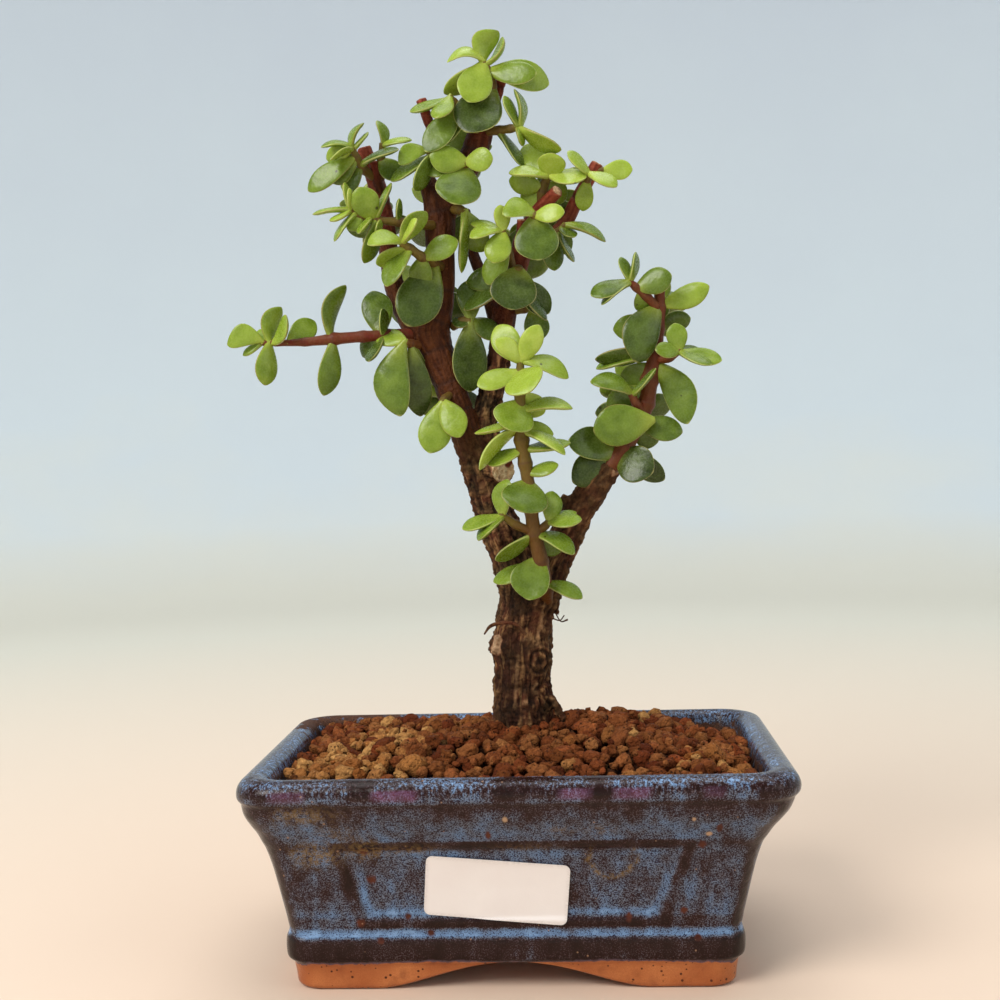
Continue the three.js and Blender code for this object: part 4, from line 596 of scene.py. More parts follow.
def add_leaf(skin, leaf, tone, form_draw):
    """One fleshy blade: rings of a lens-shaped section from the foot to the tip."""
    along, normal, side, sway = leaf_directions(leaf)
    foot = leaf["base"] - along * LEAF_FOOT_DEPTH
    length = (leaf["tip"] - foot).length
    half_wide = leaf["wide"] / 2
    plumpness = clamp(leaf["wide"] / length)
    half_thick = (LEAF_THICKNESS + LEAF_THICKNESS_SHARE * length) / 2
    cup = form_draw(-0.08, 0.2)
    twist = form_draw(-0.25, 0.25)
    lean = form_draw(-0.1, 0.1)
    section = [math.radians(angle + half_turn) for half_turn in (0, 180) for angle in LEAF_SECTION]
    points = []
    marks = []
    for row in range(LEAF_ROWS):
        share = 0.5 - 0.5 * math.cos(math.pi * row / LEAF_ROWS)
        width = half_wide * leaf_half_width(share, plumpness)
        thick = half_thick * (1.08 - 0.3 * share) * clamp(6 * (1.0 - share)) ** 0.5
        rise = 4 * length * share * (1 - share)
        centre = foot + along * (share * length) + normal * (leaf["bow"] * rise)
        centre += sway * (leaf["bend"] * rise) + side * (lean * length * share * (1 - share))
        turned = Matrix.Rotation(twist * share, 3, along)
        row_side, row_normal = turned @ side, turned @ normal
        hollow = cup * width * smooth_step(0.1, 0.5, share)
        for angle in section:
            across, lift = math.cos(angle), math.sin(angle)
            over = width * math.copysign(abs(across) ** ACROSS_POWER, across)
            swelling = BELLY_SHARE if lift < 0 else CROWN_SHARE
            height = thick * math.copysign(abs(lift) ** LIFT_POWER, lift) * swelling
            height += hollow * (abs(across) ** 2 - 0.4)
            points.append(centre + row_side * over + row_normal * height)
            at_rim = max(smooth_step(0.955, 1.0, abs(across)), smooth_step(0.97, 1.0, share))
            marks.append((
                at_rim * smooth_step(0.08, 0.3, share),
                clamp(0.5 - 0.5 * lift),
                # painted sheen, strongest in the middle of the blade and none at its rim
                math.sin(math.pi * share) * (1 - across**2),
                smooth_step(0.4, 0.0, share),
            ))
    points.append(leaf["tip"])
    marks.append((1.0, 0.5, 0.0, 0.0))
    rim, under, dome, at_foot = zip(*marks)
    skin.add(points, pointed_ring_faces(LEAF_ROWS, len(section)), 0, tone=tone, rim=rim, under=under,
             dome=dome, foot=at_foot, blush=form_draw(0.0, 1.0))


def leaf_from_row(curve, row, draw):
    """A leaf by its row in the table of shoots."""
    place, x, z, reach, wide, face_turn, *bend = row
    base = curve.point(curve.place(place))
    return {"base": base, "tip": seen((x, base.y - reach, z)), "wide": wide, "bow": draw(-0.02, 0.09),
            "face_turn": face_turn, "bend": bend[0] if bend else 0.0, "share": place / curve.segments}


def crosswise_leaves(curve, pairs, length, draw):
    """Pairs along a hidden stem, each at a right angle to the one before."""
    leaves = []
    for pair in range(pairs):
        share = (pair + 1) / (pairs + 0.3)
        base = curve.point(share)
        tangent = curve.tangent(share)
        level = Vector((-tangent.y, tangent.x, 0)).normalized()
        turn = (pair % 2) * math.pi / 2 + draw(-0.25, 0.25)
        out = Matrix.Rotation(turn, 3, tangent) @ level
        rise = 0.9 if pair == pairs - 1 else draw(0.2, 0.6)
        size = length * (1 - 0.35 * share) * draw(0.85, 1.1)
        for sign in (1, -1):
            along = out * (sign * math.cos(rise)) + tangent * math.sin(rise)
            upper = (tangent - along * tangent.dot(along)).normalized()
            wide = size * draw(0.6, 0.72)
            leaves.append({"base": base, "tip": base + along * size, "wide": wide,
                           "bow": draw(-0.02, 0.09), "bend": 0.0, "upper": upper, "share": share})
    return leaves


# Shoots

TWIG_SIDES = 14
TWIG_STEP = 0.7
# Tone of a shoot's leaves, from 0, old dark green, to 1, young yellow-green
LEAF_TONES = {
    "centre_shoot": 0.62, "crown_tip": 0.5, "front_twig": 0.5, "left_twig": 0.55, "heart_twig": 0.6,
    "right_crown_twig": 0.66, "far_right_twig": 0.6, "middle_twig": 0.45, "crown_left_twig": 0.45,
    "pair_twig": 0.5, "dark_leaf_twig": 0.06, "shade_twig": 0.08, "node_shoot": 0.34,
    "scar_shoot": 0.5, "left_shoot": 0.45, "low_far_twig": 0.2,
}
USUAL_LEAF_TONE = 0.4
# How much younger a stem's last leaves are than its first ones, on a first stem and on others
FIRST_STEM_GROWTH = 0.45
SIDE_STEM_GROWTH = 0.1
# Single leaves that are darker, below zero, or paler than the rest of their shoot
TONE_CHANGES = {
    ("right_shoot", 8): -0.35, ("right_shoot", 1): -0.1, ("right_shoot", 0): 0.15,
    ("right_shoot", 14): 0.1, ("right_shoot", 10): -0.15, ("node_shoot", 1): -0.1,
    ("crown_tip", 0): -0.1, ("pair_twig", 2): -0.1, ("centre_shoot", 0): 0.1,
}
# Twig colours: green at the base and at the tip, from 0, brown, to 1, green, and the red on it
TWIG_COLOURS = {
    "centre_shoot": (0.1, 0.9, 0.3), "right_shoot": (0.2, 0.1, 0.75),
    "left_shoot": (0.1, 0.45, 1.0), "node_shoot": (0.2, 0.5, 0.6),
}
USUAL_TWIG_COLOUR = (0.45, 0.8, 0.3)
# A twig's last part is rounded off
TWIG_END = 0.985
# Leaves wider than this are older, and so much darker for each millimetre more
OLD_LEAF_WIDTH = 9
OLD_LEAF_CHANGE = 0.02
# Added to a shoot's seed for the draw that varies the forms of its leaves
FORM_SEED = 5000


def add_twig(skin, curve, colour):
    """A twig with swollen nodes at its path's points and a rounded or cut end."""
    green_base, green_tip, blush = colour
    steps = curve.steps(TWIG_STEP, 6)

    def from_node(share):
        """Number of the nearest node and the length from it."""
        place = share * curve.segments
        return round(place), (place - round(place)) / curve.segments * curve.length()

    def radius_at(share):
        node, offset = from_node(share)
        swelling = hump(abs(offset), 0.0, 1.3) if node else 0.0
        into_end = max(0.0, share - TWIG_END) / (1 - TWIG_END)
        rounding = math.sqrt(clamp(1 - into_end**2))
        return curve.radius(share) * (0.93 + 0.17 * swelling) * max(rounding, 0.35)

    tones = []
    rims = []
    for step in range(steps + 1):
        share = step / steps
        node, offset = from_node(share)
        tones += [green_base + (green_tip - green_base) * share] * TWIG_SIDES
        rims += [hump(offset, 0.35, 0.35) if node else 0.0] * TWIG_SIDES
    points = curve.rings(TWIG_SIDES, steps, radius_at)
    skin.add(points, closed_ring_faces(steps + 1, TWIG_SIDES), 1, tone=tones, rim=rims, blush=blush)


def make_shoot(name, seed, materials):
    skin = Skin(*SHOOT_VALUES)
    draw = make_draw(seed)
    form_draw = make_draw(seed + FORM_SEED)
    leaf_count = 0
    growth = FIRST_STEM_GROWTH
    for stem in SHOOTS[name]:
        curve = StemCurve(stem["path"])
        leaves = [leaf_from_row(curve, row, draw) for row in stem.get("leaves", [])]
        if "pairs" in stem:
            leaves += crosswise_leaves(curve, stem["pairs"], stem["length"], draw)
        add_twig(skin, curve, TWIG_COLOURS.get(name, USUAL_TWIG_COLOUR))
        for leaf in leaves:
            youth = growth * (leaf["share"] - 0.5)
            youth -= OLD_LEAF_CHANGE * max(0.0, leaf["wide"] - OLD_LEAF_WIDTH)
            change = TONE_CHANGES.get((name, leaf_count), 0.0)
            shoot_tone = LEAF_TONES.get(name, USUAL_LEAF_TONE)
            add_leaf(skin, leaf, clamp(shoot_tone + youth + change + form_draw(-0.12, 0.12)), form_draw)
            leaf_count += 1
        growth = SIDE_STEM_GROWTH
    attach(skin.make(name + "_leaves", materials), name)


# Trunk

WOOD_VOXEL = 0.55
WOOD_SIDES = 20
WOOD_STEP = 1.5
SAMPLE_STEP = 0.5
# How many near samples are compared for the one whose bark a point lies on
COMPARED_SAMPLES = 14
# What the wood's surface stores for its material at each point
WOOD_VALUES = ("age", "red", "ring", "cut", "crack", "crest", "grain_x", "grain_y", "grain_z")
# Share of the wood's length that the grain stores, which draws the furrows out along it
GRAIN_LENGTH = 0.16
# Sizes of the old bark's relief
CRACK_SIZE = 2.6
WRINKLE_SIZE = 3.4
SCALE_SIZE = 2.1
WAVE_SIZE = 7.0
# Height up to which each stem carries old rough bark, above the whole tree where all of it is old
OLD_BARK_TOP = {"trunk": 400, "left_limb": 170, "right_limb": 190, "far_limb": 202, "root": 400,
                "trunk_knob": 400, "right_knob": 400, "pale_cut": 400}
# Stems whose young wood is red towards the end
RED_WOOD = {"outer_limb", "far_limb", "far_side_stub", "crown_stub", "outer_stub", "small_stub",
            "crown_limb"}
# Rings round the limbs at old leaf pairs, by their places along each path's points
NODE_RINGS = {
    "left_limb": (7.0, 8.1, 9.7, 10.9, 12.0, 13.1, 6.1), "crown_limb": (1.1, 2.3, 3.4, 5.5),
    "far_limb": (5.2, 6.3, 7.4, 8.6), "outer_limb": (1.2, 2.3, 3.4, 4.5, 6.2),
    "far_side_stub": (1.5, 3.0), "crown_stub": (2.2,), "dark_limb": (1.4,),
}
# Cut faces and wounds: middle as seen, radius, and how pale they are
CUT_MARKS = [
    ((-2.8, -4.4, 160.6), 6.2, 1.0), ((-24, -2.4, 184), 2.8, 0.25), ((-8.9, -3.4, 99.6), 3.2, 0.3),
    ((-8.4, -3.6, 102.6), 3.2, 0.35), ((-0.6, 0, 291.2), 2.0, 0.35), ((-28, -3, 285.6), 2.0, 0.5),
    ((-47.8, 2, 270.4), 2.6, 0.3), ((-45, -2, 265.8), 1.7, 0.5), ((17.2, -5.5, 253.3), 2.4, 0.45),
    ((30.7, 1, 261.9), 2.5, 0.45), ((4.6, -1, 244.2), 1.6, 0.5), ((-27, 4, 259), 3.0, 0.3),
    ((34.5, -3.5, 158), 2.4, 0.2),
]
# Knot with rings of bark round it on the front of the trunk, as seen
KNOT_CENTRE = (7.8, -6, 94.8)
KNOT_RADIUS = 7.6
KNOT_RING_WIDTH = 2.1
# Patches of nearly black bark, as seen, and how far they reach
DARK_BARK = [((-4, -6, 99), 8), ((-5.5, -5, 88), 7), ((-5, -4.5, 77), 7), ((0, -7, 114), 6),
             ((9, -5, 78), 4)]
# Pale raised seams down the front of the trunk, from and to, as seen
PALE_SEAMS = [((-0.4, -6, 97.1), (-2.2, -6, 79)), ((8.2, -6, 111.5), (6, -6, 100.5))]
# Dead twig and thin roots on the old bark: x, depth, z and radius at each point
DEAD_WOOD = [
    [[-11.8, -6.5, 104.6, 0.25], [-9.6, -6.8, 107.3, 0.6], [-5, -7, 108.4, 0.7],
     [-0.5, -7, 107.6, 0.6], [2.4, -7, 104.2, 0.35]],
    [[11.6, -1, 109.5, 0.25], [14, -2, 108.8, 0.2], [15.5, -2, 110.5, 0.2]],
    [[12.4, -1, 111.5, 0.22], [14.4, -2, 108.4, 0.2], [16.6, -2.4, 109, 0.35]],
]
DEAD_WOOD_SIDES = 8


def wood_samples():
    """Places along the wood, each with its stem's name, frame, radius, length so far and share."""
    samples = []
    for name, path in WOOD.items():
        curve = StemCurve(path)
        travelled = 0.0
        last = None
        for share, centre, _tangent, side, other in curve.frames(curve.steps(SAMPLE_STEP, 4)):
            travelled += (centre - last).length if last else 0.0
            last = centre
            samples.append((name, centre, side, other, curve.radius(share), travelled, share))
    return samples


def sample_finder(samples):
    """A function that finds the sample whose bark lies nearest to a point."""
    tree = kdtree.KDTree(len(samples))
    for index, sample in enumerate(samples):
        tree.insert(sample[1], index)
    tree.balance()

    def nearest(point):
        found = tree.find_n(point, COMPARED_SAMPLES)
        return samples[min(found, key=lambda entry: entry[2] - samples[entry[1]][4])[1]]

    return nearest


def bark_relief(point, grain, age, knot):
    """How far the bark stands out, and how far the point is in a crack or on a scale's crest."""
    cracks = max(0.0, 1 - abs(fine_noise(grain, CRACK_SIZE)) * 2.2) ** 3
    level = Vector((point.x, point.y, point.z * 2.6))
    wrinkles = max(0.0, 1 - abs(fine_noise(level, WRINKLE_SIZE)) * 2.4) ** 2
    scales = fine_noise(point, SCALE_SIZE) * 0.6 + fine_noise(point, 1.1) * 0.4
    waves = fine_noise(point, WAVE_SIZE) * 0.6
    lines = fine_noise(grain, 1.2) * 0.09 + fine_noise(grain, 3.0) * 0.12
    from_knot = (point - knot).length
    at_knot = near(from_knot, KNOT_RADIUS, 0.6)
    ring_place = (from_knot + 0.5 * fine_noise(point, 2.5)) / KNOT_RING_WIDTH
    rings = 0.5 + 0.5 * math.cos(2 * math.pi * ring_place)
    furrow = (1 - at_knot) * (cracks * 0.7 + wrinkles * 0.35) + at_knot * rings * 0.8
    relief = age * (waves + scales + 0.8 * at_knot - furrow) + (1 - age) * lines
    # Cracks are painted nearly black, partly the bark's own dark and partly painted shade in the furrows;
    # crests are painted pale, partly a painted highlight on the raised scales
    crack = age * clamp(furrow * 1.5 - 0.5 * scales - 0.1)
    crest = age * clamp(1.6 * scales - 0.15) * (1 - crack)
    return relief, crack, crest


def beside_line(point, start, end):
    """How far the point lies beside a line on the trunk's front, seen from the front."""
    share = clamp((start.z - point.z) / (start.z - end.z))
    over = max(0.0, point.z - start.z, end.z - point.z)
    return abs(point.x - (start.x + (end.x - start.x) * share)) + over


def bark_surface(point, sample, marks):
    """How far the wood stands out at a point, and what it stores there, in the order of WOOD_VALUES."""
    name, centre, side, other, _radius, travelled, share = sample
    knot, rings, cuts, patches, seams = marks
    out = point - centre
    grain = Vector((out.dot(side), out.dot(other), travelled * GRAIN_LENGTH))
    age = smooth_step(-9, 9, OLD_BARK_TOP.get(name, 0) - point.z + 5 * fine_noise(point, 9.0))
    if name == "right_limb":
        age *= 1 - 0.35 * smooth_step(125, 150, point.z)
    ring = max((hump((point - middle).dot(axis), 0.0, 0.7) for middle, axis, size in rings
                if (point - middle).length < size * 1.35), default=0.0) * (1 - age * 0.7)
    cut = max((pale + 1.0) * smooth_step(1.0, 0.72, (point - middle).length / reach)
              for middle, reach, pale in cuts)
    relief, crack, crest = bark_relief(point, grain, age, knot)
    broken = 0.35 * fine_noise(point, 5.0)
    dark = max(smooth_step(1.0, 0.6, (point - middle).length / reach + broken)
               for middle, reach in patches)
    seam = 0.0
    if point.y < 0 and age > 0.5:
        ragged = 0.6 * fine_noise(point, 1.8)
        seam = max(smooth_step(0.9, 0.2, beside_line(point, *ends) + ragged) for ends in seams)
    relief = relief * (1 - 0.6 * min(cut, 1.0)) - 0.2 * ring + 0.35 * seam
    relief -= 0.45 * cut * abs(fine_noise(point, 1.6))
    red = smooth_step(0.25, 0.95, share) if name in RED_WOOD else 0.0
    # The crest paint also carries the pale seams, and the crack paint the dark patches
    crest = max(crest * (1 - dark), 0.75 * seam)
    crack = max(crack * (1 - seam), 0.8 * dark)
    return relief, (age, red, ring, cut, crack, crest, *grain)


def texture_bark(mesh):
    """Moves the fused wood's surface into bark, and stores what its material shows."""
    nearest = sample_finder(wood_samples())
    rings = []
    for name, places in NODE_RINGS.items():
        curve = StemCurve(WOOD[name])
        for share in (place / curve.segments for place in places):
            rings.append((curve.point(share), curve.tangent(share), curve.radius(share)))
    cuts = [(seen(middle), radius, pale) for middle, radius, pale in CUT_MARKS]
    patches = [(seen(middle), reach) for middle, reach in DARK_BARK]
    seams = [(seen(start), seen(end)) for start, end in PALE_SEAMS]
    marks = (seen(KNOT_CENTRE), rings, cuts, patches, seams)
    moved = []
    rows = []
    for vertex in mesh.vertices:
        point = (vertex.co - POT_MIDDLE) / MM
        relief, row = bark_surface(point, nearest(point), marks)
        moved.append((point + vertex.normal * relief) * MM + POT_MIDDLE)
        rows.append(row)
    for vertex, place in zip(mesh.vertices, moved):
        vertex.co = place
    for name, store in zip(WOOD_VALUES, zip(*rows)):
        set_value(mesh, name, store)


def add_stems(skin, paths, sides, step, fewest, **values):
    """Plain round stems along paths."""
    for path in paths:
        curve = StemCurve(path)
        steps = curve.steps(step, fewest)
        points = curve.rings(sides, steps, curve.radius)
        skin.add(points, closed_ring_faces(steps + 1, sides), 0, **values)


def make_trunk(materials):
    """The old wood, fused from its stems, with the dead twig and thin roots that lie on it."""
    skin = Skin()
    add_stems(skin, WOOD.values(), WOOD_SIDES, WOOD_STEP, 4)
    trunk = skin.make("trunk_bark", materials)
    remesh = trunk.modifiers.new("fuse", "REMESH")
    remesh.mode = "VOXEL"
    remesh.voxel_size = WOOD_VOXEL * MM
    smooth = trunk.modifiers.new("soften", "SMOOTH")
    smooth.factor = 0.5
    smooth.iterations = 3
    apply_modifiers(trunk)
    texture_bark(trunk.data)
    dead_skin = Skin(*WOOD_VALUES)
    add_stems(dead_skin, DEAD_WOOD, DEAD_WOOD_SIDES, 0.5, 8, age=0.85, cut=0.35)
    dead_wood = dead_skin.make("dead_wood", materials)
    joined = bmesh.new()
    joined.from_mesh(trunk.data)
    joined.from_mesh(dead_wood.data)
    joined.to_mesh(trunk.data)
    joined.free()
    bpy.data.objects.remove(dead_wood)
    shade_smooth(trunk.data)
    attach(trunk, "trunk")


# Soil

SOIL_EDGE_HEIGHT = 63.5
SOIL_MOUND_HEIGHT = 73.0
HEAP_CENTRE = (30.0, 14.0)
HEAP_HEIGHT = 3.0
HEAP_REACH = 24.0
TRUNK_FOOT = (1, TRUNK_PLANE_Y)
TRUNK_HOLE_RADIUS = 10.2
# The soil's outline at the top: how far in from the rim's edge its mound and its granules end
MOUND_INSET = 9
GRANULE_INSET = 9.6
SOIL_CORNER = 9
SOIL_SEED = 71
GRANULE_PITCH = 5.2
# Rows of a net of granules are this share of the pitch apart, and a granule strays by up to this
ROW_SHARE = 0.87
STRAY = 0.36
# Granules in front of this line are cut from the finer form
FINE_SOIL_Y = -10.0
TRUNK_CRUMBS = 22
# Flat broken sides of a granule
BROKEN_SIDES = 10
# Where the light granules lie: x, y, reach and share of them that are light
LIGHT_SOIL = [(-56, -34, 26, 0.85), (-46, 0, 20, 0.55), (64, -30, 14, 0.35)]
# Share of light granules everywhere else
STRAY_LIGHT = 0.035
# Where the soil is sunk and its granules carry painted shade, and where it is only sunk: x, y, reach, depth
SHADED_HOLLOWS = [(68, 38, 22, 5.5), (-72, -38, 9, 3.0)]
SHALLOW_HOLLOWS = [(70, -38, 7, 1.5)]
# Big granules on top: x, y, size, lightness
BIG_GRANULES = [(-31.5, -38, 4.7, 1.0), (-13, 4, 3.6, 0.3), (-18, 8, 3.3, 0.6), (25, 2, 3.4, 0.15),
                (33, 0, 3.5, 0.15), (16, 2, 3.4, 0.1), (-60, -12, 3.5, 0.8), (62, -27, 3.9, 0.7),
                (49, 10, 3.4, 0.25), (-8, -6, 3.1, 0.1), (22, -13, 3.6, 0.1), (-2, -13, 3.2, 0.05)]
# The bed under the granules: height and inset from the rim's edge, and shares of its top's reach
BED_LEVELS = [(14.4, 21.6), (38, 17.5), (54, 12.3), (59, 11.3)]
BED_TOP_SHARES = (0.8, 0.55, 0.3, 0.12)
BED_CORNER = 9.0
BED_BELOW_TOP = 4.5
# Lightness, random tone and painted shade, stored at each point of the soil
SOIL_VALUES = ("light", "shade", "deep")


def mound_height(x, y):
    reach = max(abs(x) / (POT_LENGTH / 2 - MOUND_INSET), abs(y) / (POT_DEPTH / 2 - MOUND_INSET))
    slope = math.cos(math.pi / 2 * min(1.0, reach))
    from_heap = math.hypot(x - HEAP_CENTRE[0], y - HEAP_CENTRE[1])
    heap = HEAP_HEIGHT * hump(from_heap, 0.0, HEAP_REACH)
    height = SOIL_EDGE_HEIGHT + (SOIL_MOUND_HEIGHT - SOIL_EDGE_HEIGHT) * slope**0.8 + heap * slope
    for sunk_x, sunk_y, sunk_reach, depth in SHADED_HOLLOWS + SHALLOW_HOLLOWS:
        height -= depth * near(math.hypot(x - sunk_x, y - sunk_y), sunk_reach, 0)
    return height


def inside_pot(x, y, margin):
    """True where a granule at the soil's top clears the pot's inner wall and the trunk."""
    half_x = POT_LENGTH / 2 - GRANULE_INSET - margin
    half_y = POT_DEPTH / 2 - GRANULE_INSET - margin
    corner = SOIL_CORNER - margin
    over = Vector((max(0, abs(x) - half_x + corner), max(0, abs(y) - half_y + corner)))
    from_trunk = math.hypot(x - TRUNK_FOOT[0], y - TRUNK_FOOT[1])
    return over.length < corner and from_trunk > TRUNK_HOLE_RADIUS + margin * 0.8


def granule_form(detail):
    """The directions and faces of an icosphere that granules are cut from."""
    form = bmesh.new()
    bmesh.ops.create_icosphere(form, subdivisions=detail, radius=1.0)
    directions = [vertex.co.copy() for vertex in form.verts]
    faces = [tuple(vertex.index for vertex in face.verts) for face in form.faces]
    form.free()
    return directions, faces


def add_granule(skin, form, place, size, light, draw, deep=0.0):
    """One crumb: a lump with a few flat broken sides and a rough skin."""
    directions, faces = form
    turn = Matrix.Rotation(draw(0, 6.3), 3, "X") @ Matrix.Rotation(draw(0, 6.3), 3, "Z")
    cuts = []
    for _ in range(BROKEN_SIDES):
        direction = Vector((draw(-1, 1), draw(-1, 1), draw(-1, 1))).normalized()
        cuts.append((direction, draw(0.5, 0.85)))
    stretch = Vector((1.0, draw(0.72, 1.0), draw(0.65, 0.9)))
    seed = Vector((draw(0, 90), draw(0, 90), draw(0, 90)))
    points = []
    for direction in directions:
        facing = [(normal.dot(direction), depth) for normal, depth in cuts]
        reach = min([1.0] + [depth / share for share, depth in facing if share > 0.05])
        lumps = 0.22 * fine_noise(direction + seed, 0.55) + 0.12 * fine_noise(direction + seed, 0.22)
        points.append(place + turn @ (direction * (reach * (1.16 + lumps)) * size * stretch))
    # The granule's last value is painted shade, which darkens it
    skin.add(points, faces, 0, light=light, shade=draw(0.0, 1.0), deep=deep)


def lightness(x, y, draw):
    """A granule's lightness by its place: most are dark, more are light in the light patches."""
    share = STRAY_LIGHT
    for spot_x, spot_y, reach, amount in LIGHT_SOIL:
        share += amount * smooth_step(reach * 1.3, reach * 0.4, math.hypot(x - spot_x, y - spot_y))
    return draw(0.55, 1.0) if draw(0, 1) < share else draw(0.0, 0.35)


def scatter_granules(skin, forms, draw, pitch, sizes, sink, shift, share=1.0, deep=0.0):
    """Granules on an uneven net over the soil, the finer form for those towards the front."""
    fine_form, coarse_form = forms
    rows = int(POT_DEPTH / 2 / (pitch * ROW_SHARE)) + 1
    columns = int(POT_LENGTH / 2 / pitch) + 1
    for row in range(-rows, rows + 1):
        for column in range(-columns, columns + 1):
            x = (column + (row % 2) / 2 + shift + draw(-STRAY, STRAY)) * pitch
            y = (row + shift + draw(-STRAY, STRAY)) * pitch * ROW_SHARE
            size = draw(*sizes)
            if draw(0, 1) > share or not inside_pot(x, y, size * 0.8):
                continue
            height = mound_height(x, y) - sink + draw(-1.1, 1.1)
            form = fine_form if y < FINE_SOIL_Y else coarse_form
            # Granules in the sunk hollows get painted shade
            hollow = max(near(math.hypot(x - sunk_x, y - sunk_y), reach, 0.3)
                         for sunk_x, sunk_y, reach, _depth in SHADED_HOLLOWS)
            place = Vector((x, y, height))
            add_granule(skin, form, place, size, lightness(x, y, draw), draw, max(deep, hollow))


def make_soil(materials):
    """Granules of the surface, over smaller and lower ones and a bed; the lowest granules and the bed are
    darkened with painted shade.
    """
    draw = make_draw(SOIL_SEED)
    crumb, coarse, fine = (granule_form(detail) for detail in (1, 2, 3))
    top = Skin(*SOIL_VALUES)
    scatter_granules(top, (fine, coarse), draw, GRANULE_PITCH, sizes=(2.1, 3.6), sink=0.3, shift=0.0)
    for x, y, size, light in BIG_GRANULES:
        place = Vector((x, y, mound_height(x, y) + 1.6))
        add_granule(top, fine, place, size, light, draw)
    for step in range(TRUNK_CRUMBS):
        angle = 2 * math.pi * (step + draw(-0.3, 0.3)) / TRUNK_CRUMBS
        reach = TRUNK_HOLE_RADIUS + draw(0.4, 1.4)
        x, y = TRUNK_FOOT[0] + reach * math.cos(angle), TRUNK_FOOT[1] + reach * math.sin(angle)
        place = Vector((x, y, mound_height(x, y) + draw(0.2, 1.6)))
        add_granule(top, coarse, place, draw(1.2, 2.6), draw(0.0, 0.3), draw)
    attach(top.make("soil_granules", materials), "soil")
    lower = Skin(*SOIL_VALUES)
    scatter_granules(lower, (coarse, crumb), draw, GRANULE_PITCH,
                     sizes=(1.0, 1.9), sink=-0.8, shift=0.5, share=0.6)
    # The lowest granules, all darkened with painted shade
    scatter_granules(lower, (crumb, crumb), draw, GRANULE_PITCH * 0.92,
                     sizes=(2.2, 3.2), sink=3.4, shift=0.5, deep=1.0)
    add_soil_bed(lower)
    attach(lower.make("soil_underneath", materials), "soil")


def add_soil_bed(skin):
    """The bed under the granules, down to the pot's floor, darkened all over with painted shade."""
    points = []
    for height, inset in BED_LEVELS:
        points += [point + Vector((body_shift(height), 0, 0)) for point in rounded_ring(height, inset)]
    top = rounded_ring(0, BED_LEVELS[-1][1])
    for share in BED_TOP_SHARES:
        for point in top:
            x, y = point.x * share, point.y * share
            points.append(Vector((x, y, mound_height(x, y) - BED_BELOW_TOP)))
    levels = len(BED_LEVELS) + len(BED_TOP_SHARES)
    skin.add(points, closed_ring_faces(levels, len(top)), 0, deep=1.0)


def rounded_ring(height, inset):
    """A rounded rectangle inside the pot's outline."""
    half_x, half_y = POT_LENGTH / 2 - inset, POT_DEPTH / 2 - inset
    ring = []
    for turn, (sign_x, sign_y) in enumerate(((1, 1), (-1, 1), (-1, -1), (1, -1))):
        for step in range(7):
            angle = (turn + step / 6) * math.pi / 2
            ring.append(Vector((sign_x * (half_x - BED_CORNER) + BED_CORNER * math.cos(angle),
                                sign_y * (half_y - BED_CORNER) + BED_CORNER * math.sin(angle), height)))
    return ring


# Pot

POT_LENGTH = 172.0
POT_DEPTH = 115.0
PANEL_BOTTOM = 23.0
PANEL_TOP = 46.0
PANEL_RECESS = 0.6
PANEL_EDGE = 1.2
PANEL_MARGIN = 41.0
PANEL_FLARE = 7.0
# Share of a level distance that is square to the panel's leaning sides
PANEL_LEAN = 0.957
FRAME_RIDGE = 0.35
FRAME_RIDGE_PLACE = -1.7
FOOT_HEIGHT = 9.0
ARCH_HEIGHT = 8.5
FRONT_ARCH_HALF = 42.0
SIDE_ARCH_HALF = 20.0
DRAIN_RADIUS = 6.0
DRAIN_X = 38.0
# The bore that cuts a drain hole: its length and the height of its middle over the apron
BORE_LENGTH = 16
BORE_RISE = 3
BORE_SEGMENTS = 48
# The lower body sits a little to the left of the rim: heights and how far each ring is moved
BODY_SHIFT = [(0.0, -2.4), (20.0, -2.3), (46.0, -1.9), (60.0, -0.3), (63.5, 0.0)]
# Wall from the middle of the underside to the middle of the floor inside, as height, distance in
# from the rim's edge and corner radius
UNDERSIDE = [[9.0, 50, 4], [9.0, 40, 4], [9.0, 30, 4], [8.9, 25.6, 4], [8.2, 24.7, 4], [4.5, 24.4, 4],
             [1.0, 24.0, 4.5], [0.25, 23.3, 5]]
OUTSIDE = [[0.0, 22.4, 6], [0.0, 19.2, 7], [0.35, 17.9, 8], [1.3, 17.2, 8], [4.0, 16.9, 8], [7.6, 16.3, 8],
           [8.8, 15.7, 8], [9.8, 14.8, 8], [11.0, 14.45, 8], [13.5, 14.3, 8], [15.4, 14.35, 8],
           [16.6, 14.6, 8], [17.6, 15.05, 8], [18.8, 15.2, 8], [20.6, 14.9, 8], [23.0, 14.5, 8],
           [28.5, 13.4, 8], [34.0, 12.3, 8], [40.0, 10.9, 8.5], [45.6, 9.2, 9], [48.0, 8.0, 9.3],
           [51.0, 6.4, 10], [54.0, 4.4, 10.6], [57.0, 2.6, 11.3], [59.6, 1.7, 12], [60.8, 1.35, 12.5],
           [61.5, 0.75, 13], [62.4, 0.2, 13], [63.8, 0.0, 13], [65.2, 0.15, 13], [66.6, 0.75, 13],
           [67.7, 1.75, 12.5], [68.5, 3.2, 12], [68.8, 4.8, 11]]
INSIDE = [[68.75, 6.0, 10.5], [68.3, 7.4, 10], [67.3, 8.5, 9.5], [65.5, 9.2, 9], [60.0, 10.4, 9],
          [54.0, 11.8, 9], [46.0, 14.3, 9], [38.0, 17.0, 9], [26.0, 19.2, 9], [15.5, 20.7, 9],
          [14.0, 23.0, 9], [14.0, 34.0, 5], [14.0, 50.0, 4]]
ROW_STEP = 0.62
WIDE_ROW_STEP = 3.0
